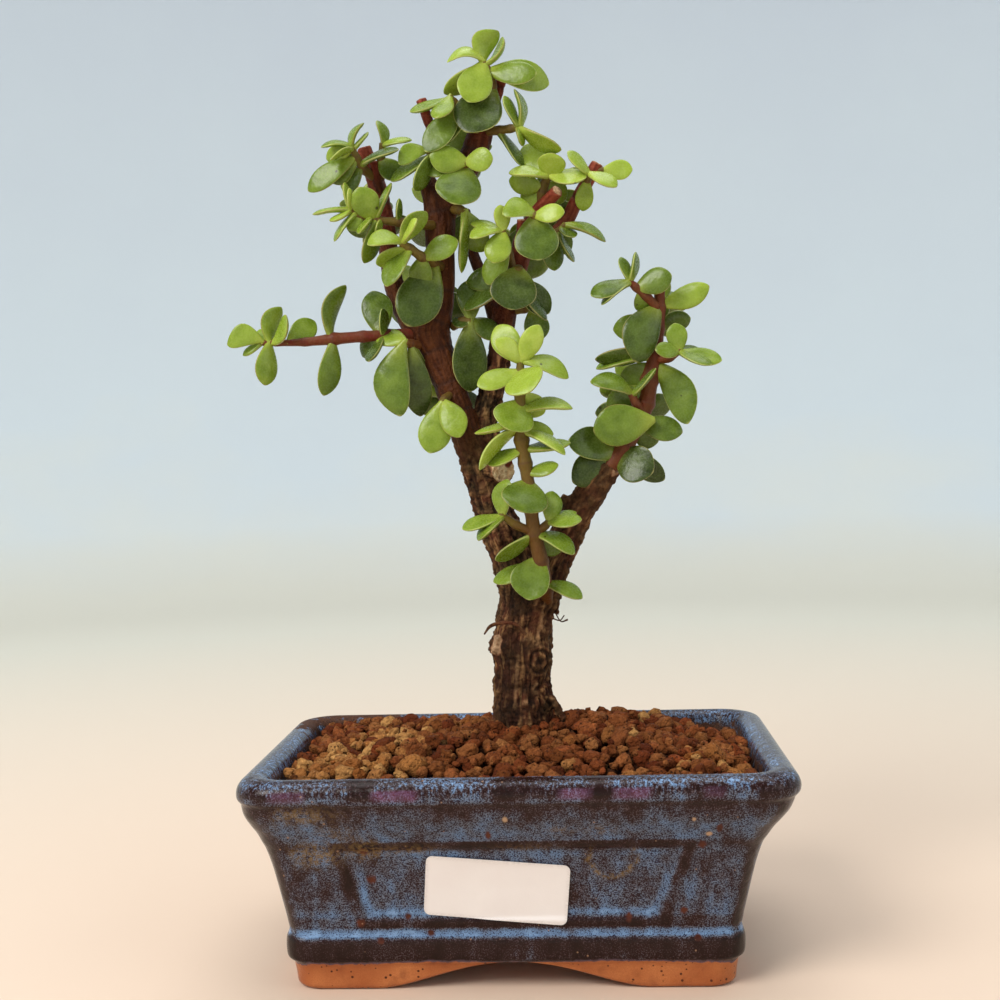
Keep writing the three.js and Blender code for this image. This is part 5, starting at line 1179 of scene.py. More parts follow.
# Columns of points from a side's middle to its panel's edge, across that edge, and to the corner
SIDE_COLUMNS = {POT_LENGTH: (34, 6, 22), POT_DEPTH: (13, 6, 16)}
CORNER_COLUMNS = 11
# Distance in from the panel's outline for a point of the corner, which is far outside it
OUTSIDE_PANEL = -9.0

# What the pot's surface stores for its material at each point
POT_VALUES = ("depth", "ochre", "band", "dirt", "over_edge")
UNDERSIDE_VALUES = (0.2, 0.0, 0.0, 0.3, -9.0)
# Depth of the glaze up the wall, from 0, thin and brown, to 1, thick and pale blue
# The low value near 61.4 mm, under the rim's roll, is partly thin brown glaze and partly painted shade
# under the roll
GLAZE_DEPTH = [(9.0, 0.24), (10.0, 0.16), (16.0, 0.14), (16.8, 0.4), (17.6, 0.74), (19.2, 0.68),
               (20.2, 0.36), (22.8, 0.34), (24.0, 0.5), (30.0, 0.42), (45.0, 0.44), (47.4, 0.34),
               (49.5, 0.5), (53.5, 0.52), (57.0, 0.4), (59.0, 0.34), (61.4, 0.2), (62.4, 0.4),
               (63.4, 0.42), (64.6, 0.28), (65.8, 0.22), (66.6, 0.34), (67.6, 0.48), (68.5, 0.34)]
# How brown the glaze breaks along the panel's frame, and how blue it lies in the panel's edge
FRAME_THINNING = 0.28
PANEL_POOLING = 0.26
# How brown it breaks down the pot's corners
CORNER_THINNING = 0.36
# Height of the rim's roll, where the red-violet bands lie
ROLL_HEIGHT = 64.6
# Thin ochre film on the front wall: x, z, reach across and up, strength
OCHRE_FILM = [(-64.3, 58.6, 9, 3, 0.9), (-61.7, 44.8, 7, 3.5, 1.2), (-46.2, 46.3, 5, 3, 1.2),
              (-32.5, 46.1, 7, 1.6, 1.0), (25.2, 52.5, 4, 1.6, 0.5), (13.3, 52.7, 4, 1.4, 0.5),
              (-55, 52, 7, 2.5, 0.4), (2, 46.5, 9, 1.2, 0.4)]
# A dried drop's ring: x, z, radius
DRIED_RING = (28.6, 43.6, 7.2)
# Red-violet bands on the rim's roll: x from, x to, strength
ROLL_BANDS = [(-73, -63, 0.6), (-42, -29, 1.0), (13.6, 22.5, 0.8), (29.8, 40.1, 0.9), (56, 62, 0.4)]
# Where the glaze on the roll is deeper, and navy, or thinner, and brown: x from, x to, change
ROLL_DEPTHS = [(-62, -50, 0.18), (-49, -42, -0.2), (-28, -6, 0.1), (-5, 12, -0.22), (22.5, 27.5, -0.25),
               (40, 55, 0.08), (62, 72, 0.14), (73, 80, -0.3)]
# Pale chips and fired brown spots on the front wall: x, z, radius, stretch upwards
PALE_CHIPS = [(-3.0, 56.6, 0.9, 1.3), (57.6, 50.6, 1.1, 0.8), (53.0, 56.0, 0.7, 1.0)]
FIRED_SPOTS = [(-45.1, 36.2, 1.7, 1.0), (-49.1, 22.0, 1.5, 1.0), (-34.4, 23.8, 1.3, 1.0),
               (-27.5, 18.5, 1.3, 1.0), (-43.0, 16.5, 1.2, 1.0), (-46.9, 45.6, 1.6, 1.0),
               (55.6, 47.0, 1.5, 1.0), (60.7, 52.7, 1.1, 1.8), (33.4, 23.2, 1.1, 1.7),
               (50.1, 25.3, 1.3, 1.0), (54.2, 16.6, 1.2, 1.0), (-8.4, 51.2, 1.0, 2.0)]
# Middle of the dried earth on the rim: x, y
DIRTY_RIM = (-66, 44)


def smooth_profile(rows, step):
    """Rows about a step apart on a soft curve through a profile's rows."""
    points = [Vector(row) for row in rows]
    made = []
    for index in range(len(points) - 1):
        first, second, third, fourth = with_neighbours(points, index)
        longest = (third - second).length
        leave, arrive = 0.5 * (third - first), 0.5 * (fourth - second)
        leave = leave.normalized() * min(leave.length, longest)
        arrive = arrive.normalized() * min(arrive.length, longest)
        count = max(1, round((third - second).xy.length / step))
        made += [between(second, third, leave, arrive, part / count) for part in range(count)]
    return made + [points[-1]]


def along_table(table, height):
    """Value at a height of a table of heights and values, with straight lines between."""
    for (low, low_value), (high, high_value) in zip(table, table[1:]):
        if height <= high:
            return low_value + (high_value - low_value) * clamp((height - low) / (high - low))
    return table[-1][1]


def body_shift(height):
    """How far a ring of the pot is moved along X at a height."""
    return along_table(BODY_SHIFT, height)


def wall_inset(height):
    """How far in from the rim's edge the outer wall stands at a height."""
    return along_table([(row[0], row[1]) for row in OUTSIDE[2:]], height)


def panel_half(height, side_length):
    """Half the length of a side's sunk panel at a height."""
    share = clamp((height - PANEL_BOTTOM) / (PANEL_TOP - PANEL_BOTTOM))
    return side_length / 2 - PANEL_MARGIN + PANEL_FLARE * share


def into_panel(across, height, side_length):
    """Distance in from the sunk panel's outline, less than zero outside it."""
    sideways = PANEL_LEAN * (panel_half(height, side_length) - abs(across))
    return min(sideways, height - PANEL_BOTTOM, PANEL_TOP - height)


def panel_relief(inside):
    """How far the wall stands out by the panel's outline: a soft ridge round a sunk field."""
    ridge = FRAME_RIDGE * hump(inside, FRAME_RIDGE_PLACE, 1.5)
    return ridge - PANEL_RECESS * smooth_step(-PANEL_EDGE / 2, PANEL_EDGE / 2, inside)


def half_side_places(straight, panel, counts):
    """Places from the middle of a side to its corner, closer together at the panel's edge."""
    inner, edge, outer = counts
    places = [(panel - 1) * step / inner for step in range(inner)]
    places += [panel - 1 + 2 * step / edge for step in range(edge)]
    places += [panel + 1 + (straight - panel - 1) * step / outer for step in range(outer + 1)]
    return places


def pot_ring(height, inset, radius, is_wall):
    """One level of the pot: each point, its share of a corner, distance into the panel, and side."""
    ring = []
    shift = Vector((body_shift(height), 0, 0))
    for side in range(4):
        length, depth = (POT_LENGTH, POT_DEPTH) if side % 2 == 0 else (POT_DEPTH, POT_LENGTH)
        turn = Matrix.Rotation(side * math.pi / 2, 3, "Z")
        straight, out = length / 2 - inset - radius, depth / 2 - inset
        half = half_side_places(straight, panel_half(height, length), SIDE_COLUMNS[length])
        for across in [-place for place in reversed(half)] + half[1:]:
            inside = into_panel(across, height, length)
            relief = panel_relief(inside) if is_wall else 0.0
            ring.append((turn @ Vector((across, -out - relief, height)) + shift, 0.0, inside, side))
        for step in range(1, CORNER_COLUMNS):
            share = step / CORNER_COLUMNS
            angle = share * math.pi / 2
            x, y = straight + radius * math.sin(angle), radius * (1 - math.cos(angle)) - out
            point = turn @ Vector((x, y, height)) + shift
            ring.append((point, math.sin(math.pi * share), OUTSIDE_PANEL, side))
    return ring


def arch_height(point, side):
    """Height of the opening between the feet under a point of the apron."""
    across = point.x - body_shift(0) if side % 2 == 0 else point.y
    half = FRONT_ARCH_HALF if side % 2 == 0 else SIDE_ARCH_HALF
    if abs(across) > half:
        return 0.0
    return ARCH_HEIGHT * math.cos(math.pi / 2 * across / half) ** 1.6


def outer_glaze(point, corner, inside, side):
    """What the pot's outside stores at a point, in the order of POT_VALUES."""
    x, y, z = point
    depth = along_table(GLAZE_DEPTH, z)
    if 20 < z < 49:
        worn = 0.8 + 0.7 * fine_noise(point, 9.0)
        depth -= FRAME_THINNING * worn * smooth_step(2.4, 0.8, abs(inside - FRAME_RIDGE_PLACE))
        depth += PANEL_POOLING * hump(inside, 1.9, 1.4) * (1 - 0.7 * smooth_step(28, 40, z))
    depth -= CORNER_THINNING * corner**8 * smooth_step(61, 57, z)
    band = 0.0
    if y < 0 and corner < 0.2:
        depth += smooth_step(62, 64, z) * sum(change * span(x, low, high, 1.5)
                                              for low, high, change in ROLL_DEPTHS)
        depth -= 0.16 * smooth_step(65.8, 66.8, z) * span(x, -62, -42, 2)
        on_roll = smooth_step(1.9, 1.1, abs(z - ROLL_HEIGHT))
        band = on_roll * max(strength * span(x, low, high, 1) for low, high, strength in ROLL_BANDS)
    ochre = 0.0
    if side == 0:
        ochre = sum(strength * hump(x, film_x, wide) * hump(z, film_z, high)
                    for film_x, film_z, wide, high, strength in OCHRE_FILM)
        ring_x, ring_z, ring_radius = DRIED_RING
        from_ring = math.hypot(x - ring_x, z - ring_z) - ring_radius
        ochre += 1.6 * hump(from_ring, 0.0, 0.6) * smooth_step(5, -2, z - ring_z)
    edge = FOOT_HEIGHT - 1.2 * corner**2 - 0.4 * math.sin(0.11 * x + 1.3)
    return depth, clamp(ochre), band, clamp(rim_dirt(x, y, z)), z - edge


def inner_glaze(point):
    """What the pot's inside stores at a point, in the order of POT_VALUES."""
    x, y, z = point
    depth = 0.5 - 0.3 * smooth_step(66.5, 60, z)
    dirt = max(rim_dirt(x, y, z), 0.75 * smooth_step(67.5, 63.5, z))
    return depth, 0.0, 0.0, clamp(dirt), z + 20


def rim_dirt(x, y, z):
    """How much earth has dried on the rim at a point."""
    return smooth_step(34, 10, math.hypot(x - DIRTY_RIM[0], y - DIRTY_RIM[1])) * smooth_step(63, 68, z)


def make_pot(materials):
    under = smooth_profile(UNDERSIDE, WIDE_ROW_STEP)
    outside = smooth_profile([UNDERSIDE[-1], *OUTSIDE], ROW_STEP)[1:]
    inside = smooth_profile([OUTSIDE[-1], *INSIDE], 2 * ROW_STEP)[1:]
    points = []
    rows = []
    for part in (under, outside, inside):
        for height, inset, radius in part:
            for point, corner, into, side in pot_ring(height, inset, radius, part is outside):
                if part is under:
                    rows.append(UNDERSIDE_VALUES)
                elif part is outside:
                    rows.append(outer_glaze(point, corner, into, side))
                else:
                    rows.append(inner_glaze(point))
                if part is not inside and point.z < FOOT_HEIGHT:
                    arch = arch_height(point, side)
                    point.z = arch + (FOOT_HEIGHT - arch) / FOOT_HEIGHT * point.z
                points.append(point)
    levels = len(under) + len(outside) + len(inside)
    skin = Skin(*POT_VALUES)
    values = dict(zip(POT_VALUES, zip(*rows)))
    skin.add(points, closed_ring_faces(levels, len(points) // levels), 0, **values)
    pot = skin.make("pot_glazed", materials)
    for x in (-DRAIN_X, DRAIN_X):
        bore_drain(pot, x)
    attach(pot, "pot")


def bore_drain(pot, x):
    """Cuts a drain hole down through the pot's floor."""
    bore = bmesh.new()
    middle = Matrix.Translation(POT_MIDDLE + Vector((x, 0, FOOT_HEIGHT + BORE_RISE)) * MM)
    bmesh.ops.create_cone(bore, cap_ends=True, segments=BORE_SEGMENTS, radius1=DRAIN_RADIUS * MM,
                          radius2=DRAIN_RADIUS * MM, depth=BORE_LENGTH * MM, matrix=middle)
    mesh = bpy.data.meshes.new("drain_bore")
    bore.to_mesh(mesh)
    bore.free()
    cutter = add_object("drain_bore", mesh)
    cut = pot.modifiers.new("drain", "BOOLEAN")
    cut.operation = "DIFFERENCE"
    cut.solver = "EXACT"
    cut.object = cutter
    apply_modifiers(pot)
    bpy.data.objects.remove(cutter)
    bpy.data.meshes.remove(mesh)


# Label

LABEL_WIDTH = 44.0
LABEL_HEIGHT = 19.5
LABEL_CORNER = 2.0
LABEL_CENTRE = (-6.7, 32.4)
LABEL_TILT = -0.09
LABEL_GAP = 0.25
LABEL_THICKNESS = 0.45
LABEL_COLUMNS = 44
LABEL_ROWS = 30
# How far in from its outline the paper is worn
LABEL_WORN = 1.5


def label_point(across, up, offset):
    """A point at an offset in front of the wall and its sunk panel."""
    x = LABEL_CENTRE[0] + across * math.cos(LABEL_TILT) - up * math.sin(LABEL_TILT)
    z = LABEL_CENTRE[1] + across * math.sin(LABEL_TILT) + up * math.cos(LABEL_TILT)
    relief = min(0.0, panel_relief(into_panel(x - body_shift(z), z, POT_LENGTH)))
    return Vector((x, -(POT_DEPTH / 2 - wall_inset(z)) - relief - offset, z))


def make_label(materials):
    half_up = LABEL_HEIGHT / 2
    points = []
    edges = []
    for row in range(LABEL_ROWS + 1):
        up = half_up * math.sin(math.pi * (row / LABEL_ROWS - 0.5))
        into_corner = max(0.0, abs(up) - (half_up - LABEL_CORNER))
        half = LABEL_WIDTH / 2 - LABEL_CORNER
        half += math.sqrt(max(0.01, LABEL_CORNER**2 - into_corner**2))
        across = [half * math.sin(math.pi * (column / LABEL_COLUMNS - 0.5))
                  for column in range(LABEL_COLUMNS + 1)]
        points += [label_point(place, up, LABEL_GAP + LABEL_THICKNESS) for place in across]
        points += [label_point(place, up, LABEL_GAP) for place in reversed(across)]
        edges += [near(min(half - abs(place), half_up - abs(up)), LABEL_WORN, 0) for place in across]
        edges += [1.0] * len(across)
    skin = Skin("edge")
    skin.add(points, closed_ring_faces(LABEL_ROWS + 1, 2 * (LABEL_COLUMNS + 1)), 0, edge=edges)
    attach(skin.make("label_blank", materials), "label")


# Materials. Colours are screen values from 0 to 255. Sizes of patterns are metres, apart from those
# that are drawn on the wood's stored grain, which are millimetres.

def srgb(red, green, blue):
    """A node's colour by its screen values."""
    def linear(value):
        value /= 255
        return value / 12.92 if value <= 0.04045 else ((value + 0.055) / 1.055) ** 2.4

    return (linear(red), linear(green), linear(blue), 1.0)


class Nodes:
    """Adds nodes to a tree. Each input is a value or another node's output."""

    def __init__(self, tree):
        self.tree = tree

    def put(self, socket, value):
        if isinstance(value, bpy.types.NodeSocket):
            self.tree.links.new(value, socket)
        else:
            socket.default_value = value

    def add(self, kind, inputs, **settings):
        node = self.tree.nodes.new(kind)
        for name, value in settings.items():
            setattr(node, name, value)
        for name, value in inputs.items():
            self.put(node.inputs[name], value)
        return node

    def maths(self, operation, first, second, clamped=False):
        node = self.add("ShaderNodeMath", {0: first, 1: second}, operation=operation, use_clamp=clamped)
        return node.outputs[0]

    def plus(self, first, second):
        return self.maths("ADD", first, second)

    def minus(self, first, second):
        return self.maths("SUBTRACT", first, second)

    def times(self, first, second):
        return self.maths("MULTIPLY", first, second)

    def divided(self, first, second):
        return self.maths("DIVIDE", first, second)

    def vector_maths(self, operation, first, second=(0, 0, 0)):
        return self.add("ShaderNodeVectorMath", {0: first, 1: second}, operation=operation).outputs

    def fit(self, value, low, high, to_low=0.0, to_high=1.0):
        """The value's range from low to high, moved to another range and kept inside it."""
        inputs = {"Value": value, "From Min": low, "From Max": high, "To Min": to_low, "To Max": to_high}
        return self.add("ShaderNodeMapRange", inputs).outputs["Result"]

    def mix(self, factor, first, second):
        """Two colours mixed. Each is screen values or another node's output."""
        first, second = (srgb(*colour) if isinstance(colour, tuple) else colour
                         for colour in (first, second))
        return self.add("ShaderNodeMix", {0: factor, 6: first, 7: second}, data_type="RGBA").outputs[2]

    def cover(self, colour, *layers):
        """The colour under layers of mask, strength and paint, each over the ones before."""
        for mask, strength, paint in layers:
            colour = self.mix(self.times(mask, strength), colour, paint)
        return colour

    def ramp(self, factor, stops):
        """A colour ramp through stops of place and screen values."""
        node = self.add("ShaderNodeValToRGB", {"Fac": factor})
        elements = node.color_ramp.elements
        while len(elements) < len(stops):
            elements.new(0.5)
        for element, (place, colour) in zip(elements, stops):
            element.position = place
            element.color = srgb(*colour)
        return node.outputs["Color"]

    def stored(self, name):
        """A value that the mesh stores for each of its points."""
        return self.add("ShaderNodeAttribute", {}, attribute_name=name).outputs["Fac"]

    def noise(self, place, scale, **inputs):
        return self.add("ShaderNodeTexNoise", {"Vector": place, "Scale": scale, **inputs}).outputs["Fac"]


class MaskGroup(Nodes):
    """A node group that makes a mask, with its inputs by name and usual value."""

    def __init__(self, name, **inputs):
        super().__init__(bpy.data.node_groups.new(name, "ShaderNodeTree"))
        sockets = self.tree.interface
        for socket_name, value in inputs.items():
            kind = "NodeSocketVector" if isinstance(value, tuple) else "NodeSocketFloat"
            sockets.new_socket(socket_name, in_out="INPUT", socket_type=kind).default_value = value
        sockets.new_socket("Mask", in_out="OUTPUT", socket_type="NodeSocketFloat")
        self.given = self.tree.nodes.new("NodeGroupInput").outputs

    def give(self, mask):
        """Ends the group with its mask, and returns its tree."""
        self.add("NodeGroupOutput", {"Mask": mask})
        return self.tree


def cloudy_patches():
    """Soft cloudy patches of a size, from 0 to 1 between two levels of noise."""
    group = MaskGroup("cloudy_patches", Place=(0, 0, 0), Size=0.005, Detail=3.0, From=0.35, To=0.65)
    given = group.given
    clouds = group.noise(given["Place"], group.divided(1.0, given["Size"]), Detail=given["Detail"])
    return group.give(group.fit(clouds, given["From"], given["To"]))


def scattered_specks():
    """Round specks of uneven size in a share of the cells of a size."""
    group = MaskGroup("scattered_specks", Place=(0, 0, 0), Cell=0.002, Speck=0.2, Share=0.5)
    given = group.given
    inputs = {"Vector": given["Place"], "Scale": group.divided(1.0, given["Cell"])}
    cells = group.add("ShaderNodeTexVoronoi", inputs).outputs
    pick = group.add("ShaderNodeSeparateColor", {"Color": cells["Color"]}).outputs
    chosen = group.maths("LESS_THAN", pick[0], given["Share"])
    reach = group.times(given["Speck"], group.plus(pick[1], 0.4))
    inside = group.maths("SUBTRACT", 1.0, group.divided(cells["Distance"], reach), clamped=True)
    soft = group.maths("MULTIPLY", inside, 2.5, clamped=True)
    return group.give(group.times(soft, chosen))


def fired_spot():
    """One round or stretched spot at a place on the front wall, with an uneven outline."""
    group = MaskGroup("fired_spot", Place=(0, 0, 0), Centre=(0, 0, 0), Stretch=(1, 1, 1), Radius=0.002)
    given = group.given
    offset = group.vector_maths("SUBTRACT", given["Place"], given["Centre"])[0]
    fitted = group.vector_maths("MULTIPLY", offset, given["Stretch"])[0]
    distance = group.vector_maths("LENGTH", fitted)["Value"]
    uneven = group.times(group.noise(given["Place"], 900.0), 0.7)
    share = group.plus(group.divided(distance, given["Radius"]), uneven)
    return group.give(group.fit(share, 1.5, 0.9))


CLOUDS = cloudy_patches()
SPECKS = scattered_specks()
SPOT = fired_spot()


class Finish(Nodes):
    """A material under construction, with its shader and the place on the object."""

    def __init__(self, name):
        self.material = bpy.data.materials.new(name)
        self.material.use_nodes = True
        super().__init__(self.material.node_tree)
        self.shader = self.tree.nodes["Principled BSDF"]
        self.place = self.add("ShaderNodeTexCoord", {}).outputs["Object"]

    def stretched(self, x, y, z):
        """The place with each direction multiplied, so that patterns are drawn out along others."""
        return self.vector_maths("MULTIPLY", self.place, (x, y, z))[0]

    def height(self):
        return self.add("ShaderNodeSeparateXYZ", {"Vector": self.place}).outputs["Z"]

    def masked(self, group, **inputs):
        inputs = {"Place": self.place, **inputs}
        return self.add("ShaderNodeGroup", inputs, node_tree=group).outputs["Mask"]

    def clouds(self, size, low=0.3, high=0.7, detail=3.0, place=None):
        place = place or self.place
        return self.masked(CLOUDS, Place=place, Size=size, From=low, To=high, Detail=detail)

    def specks(self, cell, speck, share):
        return self.masked(SPECKS, Cell=cell, Speck=speck, Share=share)

    def wall_spot(self, x, z, radius, stretch):
        """One spot on the front wall, by its place and radius in millimetres."""
        centre = POT_MIDDLE + Vector((x, -(POT_DEPTH / 2 - wall_inset(z)), z)) * MM
        return self.masked(SPOT, Centre=centre, Stretch=(1, 0.6, 1 / stretch), Radius=radius * MM)

    def bump(self, height, distance, strength=1.0):
        """Fine relief by a height from 0 to 1, over any relief set before."""
        inputs = {"Height": height, "Distance": distance, "Strength": strength}
        before = self.shader.inputs["Normal"].links
        if before:
            inputs["Normal"] = before[0].from_socket
        node = self.add("ShaderNodeBump", inputs)
        self.put(self.shader.inputs["Normal"], node.outputs["Normal"])

    def done(self, **values):
        """The material, with the given inputs of its shader."""
        for name, value in values.items():
            self.put(self.shader.inputs[name.replace("_", " ")], value)
        return self.material


# Glaze ground and its flecks by depth, from thin and brown to thick and blue
GLAZE_GROUND = [(0.0, (30, 14, 10)), (0.25, (38, 18, 16)), (0.45, (34, 18, 26)), (0.7, (24, 22, 46)),
                (1.0, (30, 44, 78))]
GLAZE_FLECKS = [(0.0, (66, 38, 32)), (0.25, (84, 70, 72)), (0.45, (98, 104, 118)),
                (0.7, (98, 124, 158)), (1.0, (134, 168, 208))]
FIRED_BROWNS = ((52, 24, 18), (88, 42, 26))
CHIP_TAN = (170, 138, 108)
BAND_REDS = ((88, 40, 42), (122, 88, 124))
OCHRE = (128, 100, 56)
CLAY_DUST = (160, 122, 94)
RIM_EARTHS = ((40, 24, 16), (92, 56, 36))
GLAZE_LIP = (128, 104, 118)
BARE_CLAYS = ((160, 88, 48), (194, 120, 70))
CLAY_PIT = (52, 24, 14)
CLAY_STAIN = (96, 48, 28)
CLAY_GRAIN = (140, 70, 40)


def glaze_finish():
    """Flame glaze that breaks brown where thin and runs blue where thick, over bare red clay."""
    finish = Finish("flame_glaze")
    grain = finish.clouds(0.0004, 0.32, 0.68, detail=2.0)
    mottle = finish.clouds(0.003, detail=4.0)
    broad = finish.clouds(0.014)
    runs = finish.clouds(0.004, place=finish.stretched(1, 1, 0.3))
    drips = finish.clouds(0.0009, detail=2.0, place=finish.stretched(1, 1, 0.25))
    at_rim = finish.fit(finish.height(), 0.0635, 0.0655, 0.0, 0.6)
    depth = finish.stored("depth")
    for pattern, amount in ((mottle, 0.15), (broad, 0.24), (runs, 0.2), (drips, at_rim)):
        depth = finish.plus(depth, finish.times(finish.minus(pattern, 0.5), amount))
    speckle = finish.fit(finish.plus(grain, depth), 0.78, 1.22)
    colour = finish.mix(speckle, finish.ramp(depth, GLAZE_GROUND), finish.ramp(depth, GLAZE_FLECKS))
    for spot in FIRED_SPOTS:
        colour = finish.mix(finish.wall_spot(*spot), colour, finish.mix(mottle, *FIRED_BROWNS))
    for spot in PALE_CHIPS:
        colour = finish.mix(finish.wall_spot(*spot), colour, CHIP_TAN)
    film = finish.times(finish.stored("ochre"), finish.clouds(0.0014, 0.4, 0.62, detail=4.0))
    colour = finish.cover(
        colour,
        (finish.stored("band"), finish.fit(mottle, 0, 1, 0.4, 0.9), finish.mix(grain, *BAND_REDS)),
        (film, finish.fit(grain, 0, 1, 0.9, 0.45), OCHRE),
        (finish.specks(0.003, 0.12, 0.2), 0.6, CLAY_DUST))
    dirt = finish.fit(finish.plus(finish.stored("dirt"), finish.clouds(0.004, detail=5.0)), 1.02, 1.2)
    colour = finish.mix(dirt, colour, finish.mix(grain, *RIM_EARTHS))
    ragged = finish.times(finish.minus(mottle, 0.5), 0.9)
    over_edge = finish.plus(finish.stored("over_edge"), ragged)
    colour = finish.cover(colour, (finish.fit(over_edge, 0.9, 0.2), 0.55, GLAZE_LIP))
    clay = finish.mix(finish.specks(0.0015, 0.26, 0.45), finish.mix(broad, *BARE_CLAYS), CLAY_PIT)
    clay = finish.cover(
        clay,
        (finish.clouds(0.006, 0.56, 0.74, detail=5.0), 0.5, CLAY_STAIN),
        (grain, 0.35, CLAY_GRAIN))
    bare = finish.fit(over_edge, 0.12, -0.12)
    colour = finish.mix(bare, colour, clay)
    rough = finish.plus(finish.fit(depth, 0.1, 0.8, 0.13, 0.28), finish.times(bare, 0.16))
    rough = finish.maths("ADD", rough, finish.times(dirt, 0.5), clamped=True)
    finish.bump(mottle, 0.0003, 0.35)
    finish.bump(grain, 0.00008, 0.3)
    return finish.done(Base_Color=colour, Roughness=rough, Specular_IOR_Level=0.2)


PAPER_WHITES = ((232, 225, 221), (224, 214, 210))
WORN_PAPER = (176, 164, 158)


def paper_finish():
    """Coated white paper, a little dusty at its edge."""
    finish = Finish("coated_paper")
    fibres = finish.clouds(0.0006, place=finish.stretched(1, 1, 2.5))
    cloudy = finish.clouds(0.012)
    colour = finish.mix(finish.times(cloudy, 0.5), *PAPER_WHITES)
    colour = finish.cover(colour, (finish.stored("edge"), finish.times(fibres, 0.5), WORN_PAPER))
    finish.bump(fibres, 0.00004, 0.4)
    finish.bump(cloudy, 0.0003, 0.2)
    return finish.done(Base_Color=colour, Roughness=finish.fit(fibres, 0, 1, 0.42, 0.56))


PLASTIC_GREYS = ((24, 24, 26), (44, 42, 42))


def plastic_finish():
    """Dark moulded plastic mesh under the soil."""
    finish = Finish("drain_plastic")
    moulding = finish.clouds(0.0008)
    finish.bump(moulding, 0.0001, 0.5)
    colour = finish.mix(moulding, *PLASTIC_GREYS)
    return finish.done(Base_Color=colour, Roughness=finish.fit(moulding, 0, 1, 0.4, 0.6))


GRANULE_BROWNS = ((72, 28, 10), (160, 80, 38))
GRANULE_TANS = ((170, 102, 46), (220, 166, 98))
GRANULE_PATCH = (108, 44, 16)
GRANULE_CRUMB = (64, 26, 11)
# Painted shade inside the granules' pits
PIT_SHADE = (40, 19, 11)
# Painted shade on the lowest granules, the bed and the sunk hollows
PAINTED_DEEP_SHADE = (28, 12, 8)


def soil_finish():
    """Baked clay granules, most of them red-brown and some tan, with painted shade in their pits and on the
    lowest ones.
    """
    finish = Finish("clay_granules")
    crumbs = finish.clouds(0.0011, detail=5.0)
    # Pits: dark specks painted as the shade in the pores, with a sunk bump
    pits = finish.specks(0.0013, 0.3, 0.4)
    shade = finish.stored("shade")
    brown = finish.cover(finish.mix(shade, *GRANULE_BROWNS), (finish.clouds(0.0045), 0.6, GRANULE_PATCH))
    colour = finish.mix(finish.stored("light"), brown, finish.mix(shade, *GRANULE_TANS))
    # Painted shade: dark pits, then the lowest granules, the bed and the hollows darkened further
    colour = finish.cover(
        colour,
        (crumbs, 0.55, GRANULE_CRUMB),
        (pits, 0.75, PIT_SHADE),
        (finish.stored("deep"), 0.8, PAINTED_DEEP_SHADE))
    finish.bump(crumbs, 0.001, 1.0)
    finish.bump(pits, -0.0006, 0.7)
    rough = finish.fit(crumbs, 0, 1, 0.8, 1.0)
    return finish.done(Base_Color=colour, Roughness=rough, Specular_IOR_Level=0.12)


OLD_BARKS = ((22, 13, 8), (98, 62, 38))
BARK_BLOTCH = (98, 50, 34)
BARK_STRAND = (168, 124, 80)
# Pale paint on the scales' crests and on the seams, partly a painted highlight
CREST_HIGHLIGHT_AND_SEAM = (184, 140, 98)
# Nearly black paint in the cracks and dark patches, partly painted shade
CRACK_SHADE_AND_DARK_BARK = (12, 7, 5)
MOSSES = ((46, 38, 16), (104, 90, 56))
YOUNG_WOODS = ((60, 26, 9), (98, 54, 26))
YOUNG_WOOD_LINE = (48, 22, 8)
RED_WOODS = ((104, 36, 24), (142, 68, 46))
OLD_RING = (52, 30, 22)
PALE_CUTS = ((206, 160, 112), (252, 230, 188))
ROTTEN_HOLLOW = (112, 50, 36)
HEALED_CUTS = ((78, 42, 28), (176, 124, 90))


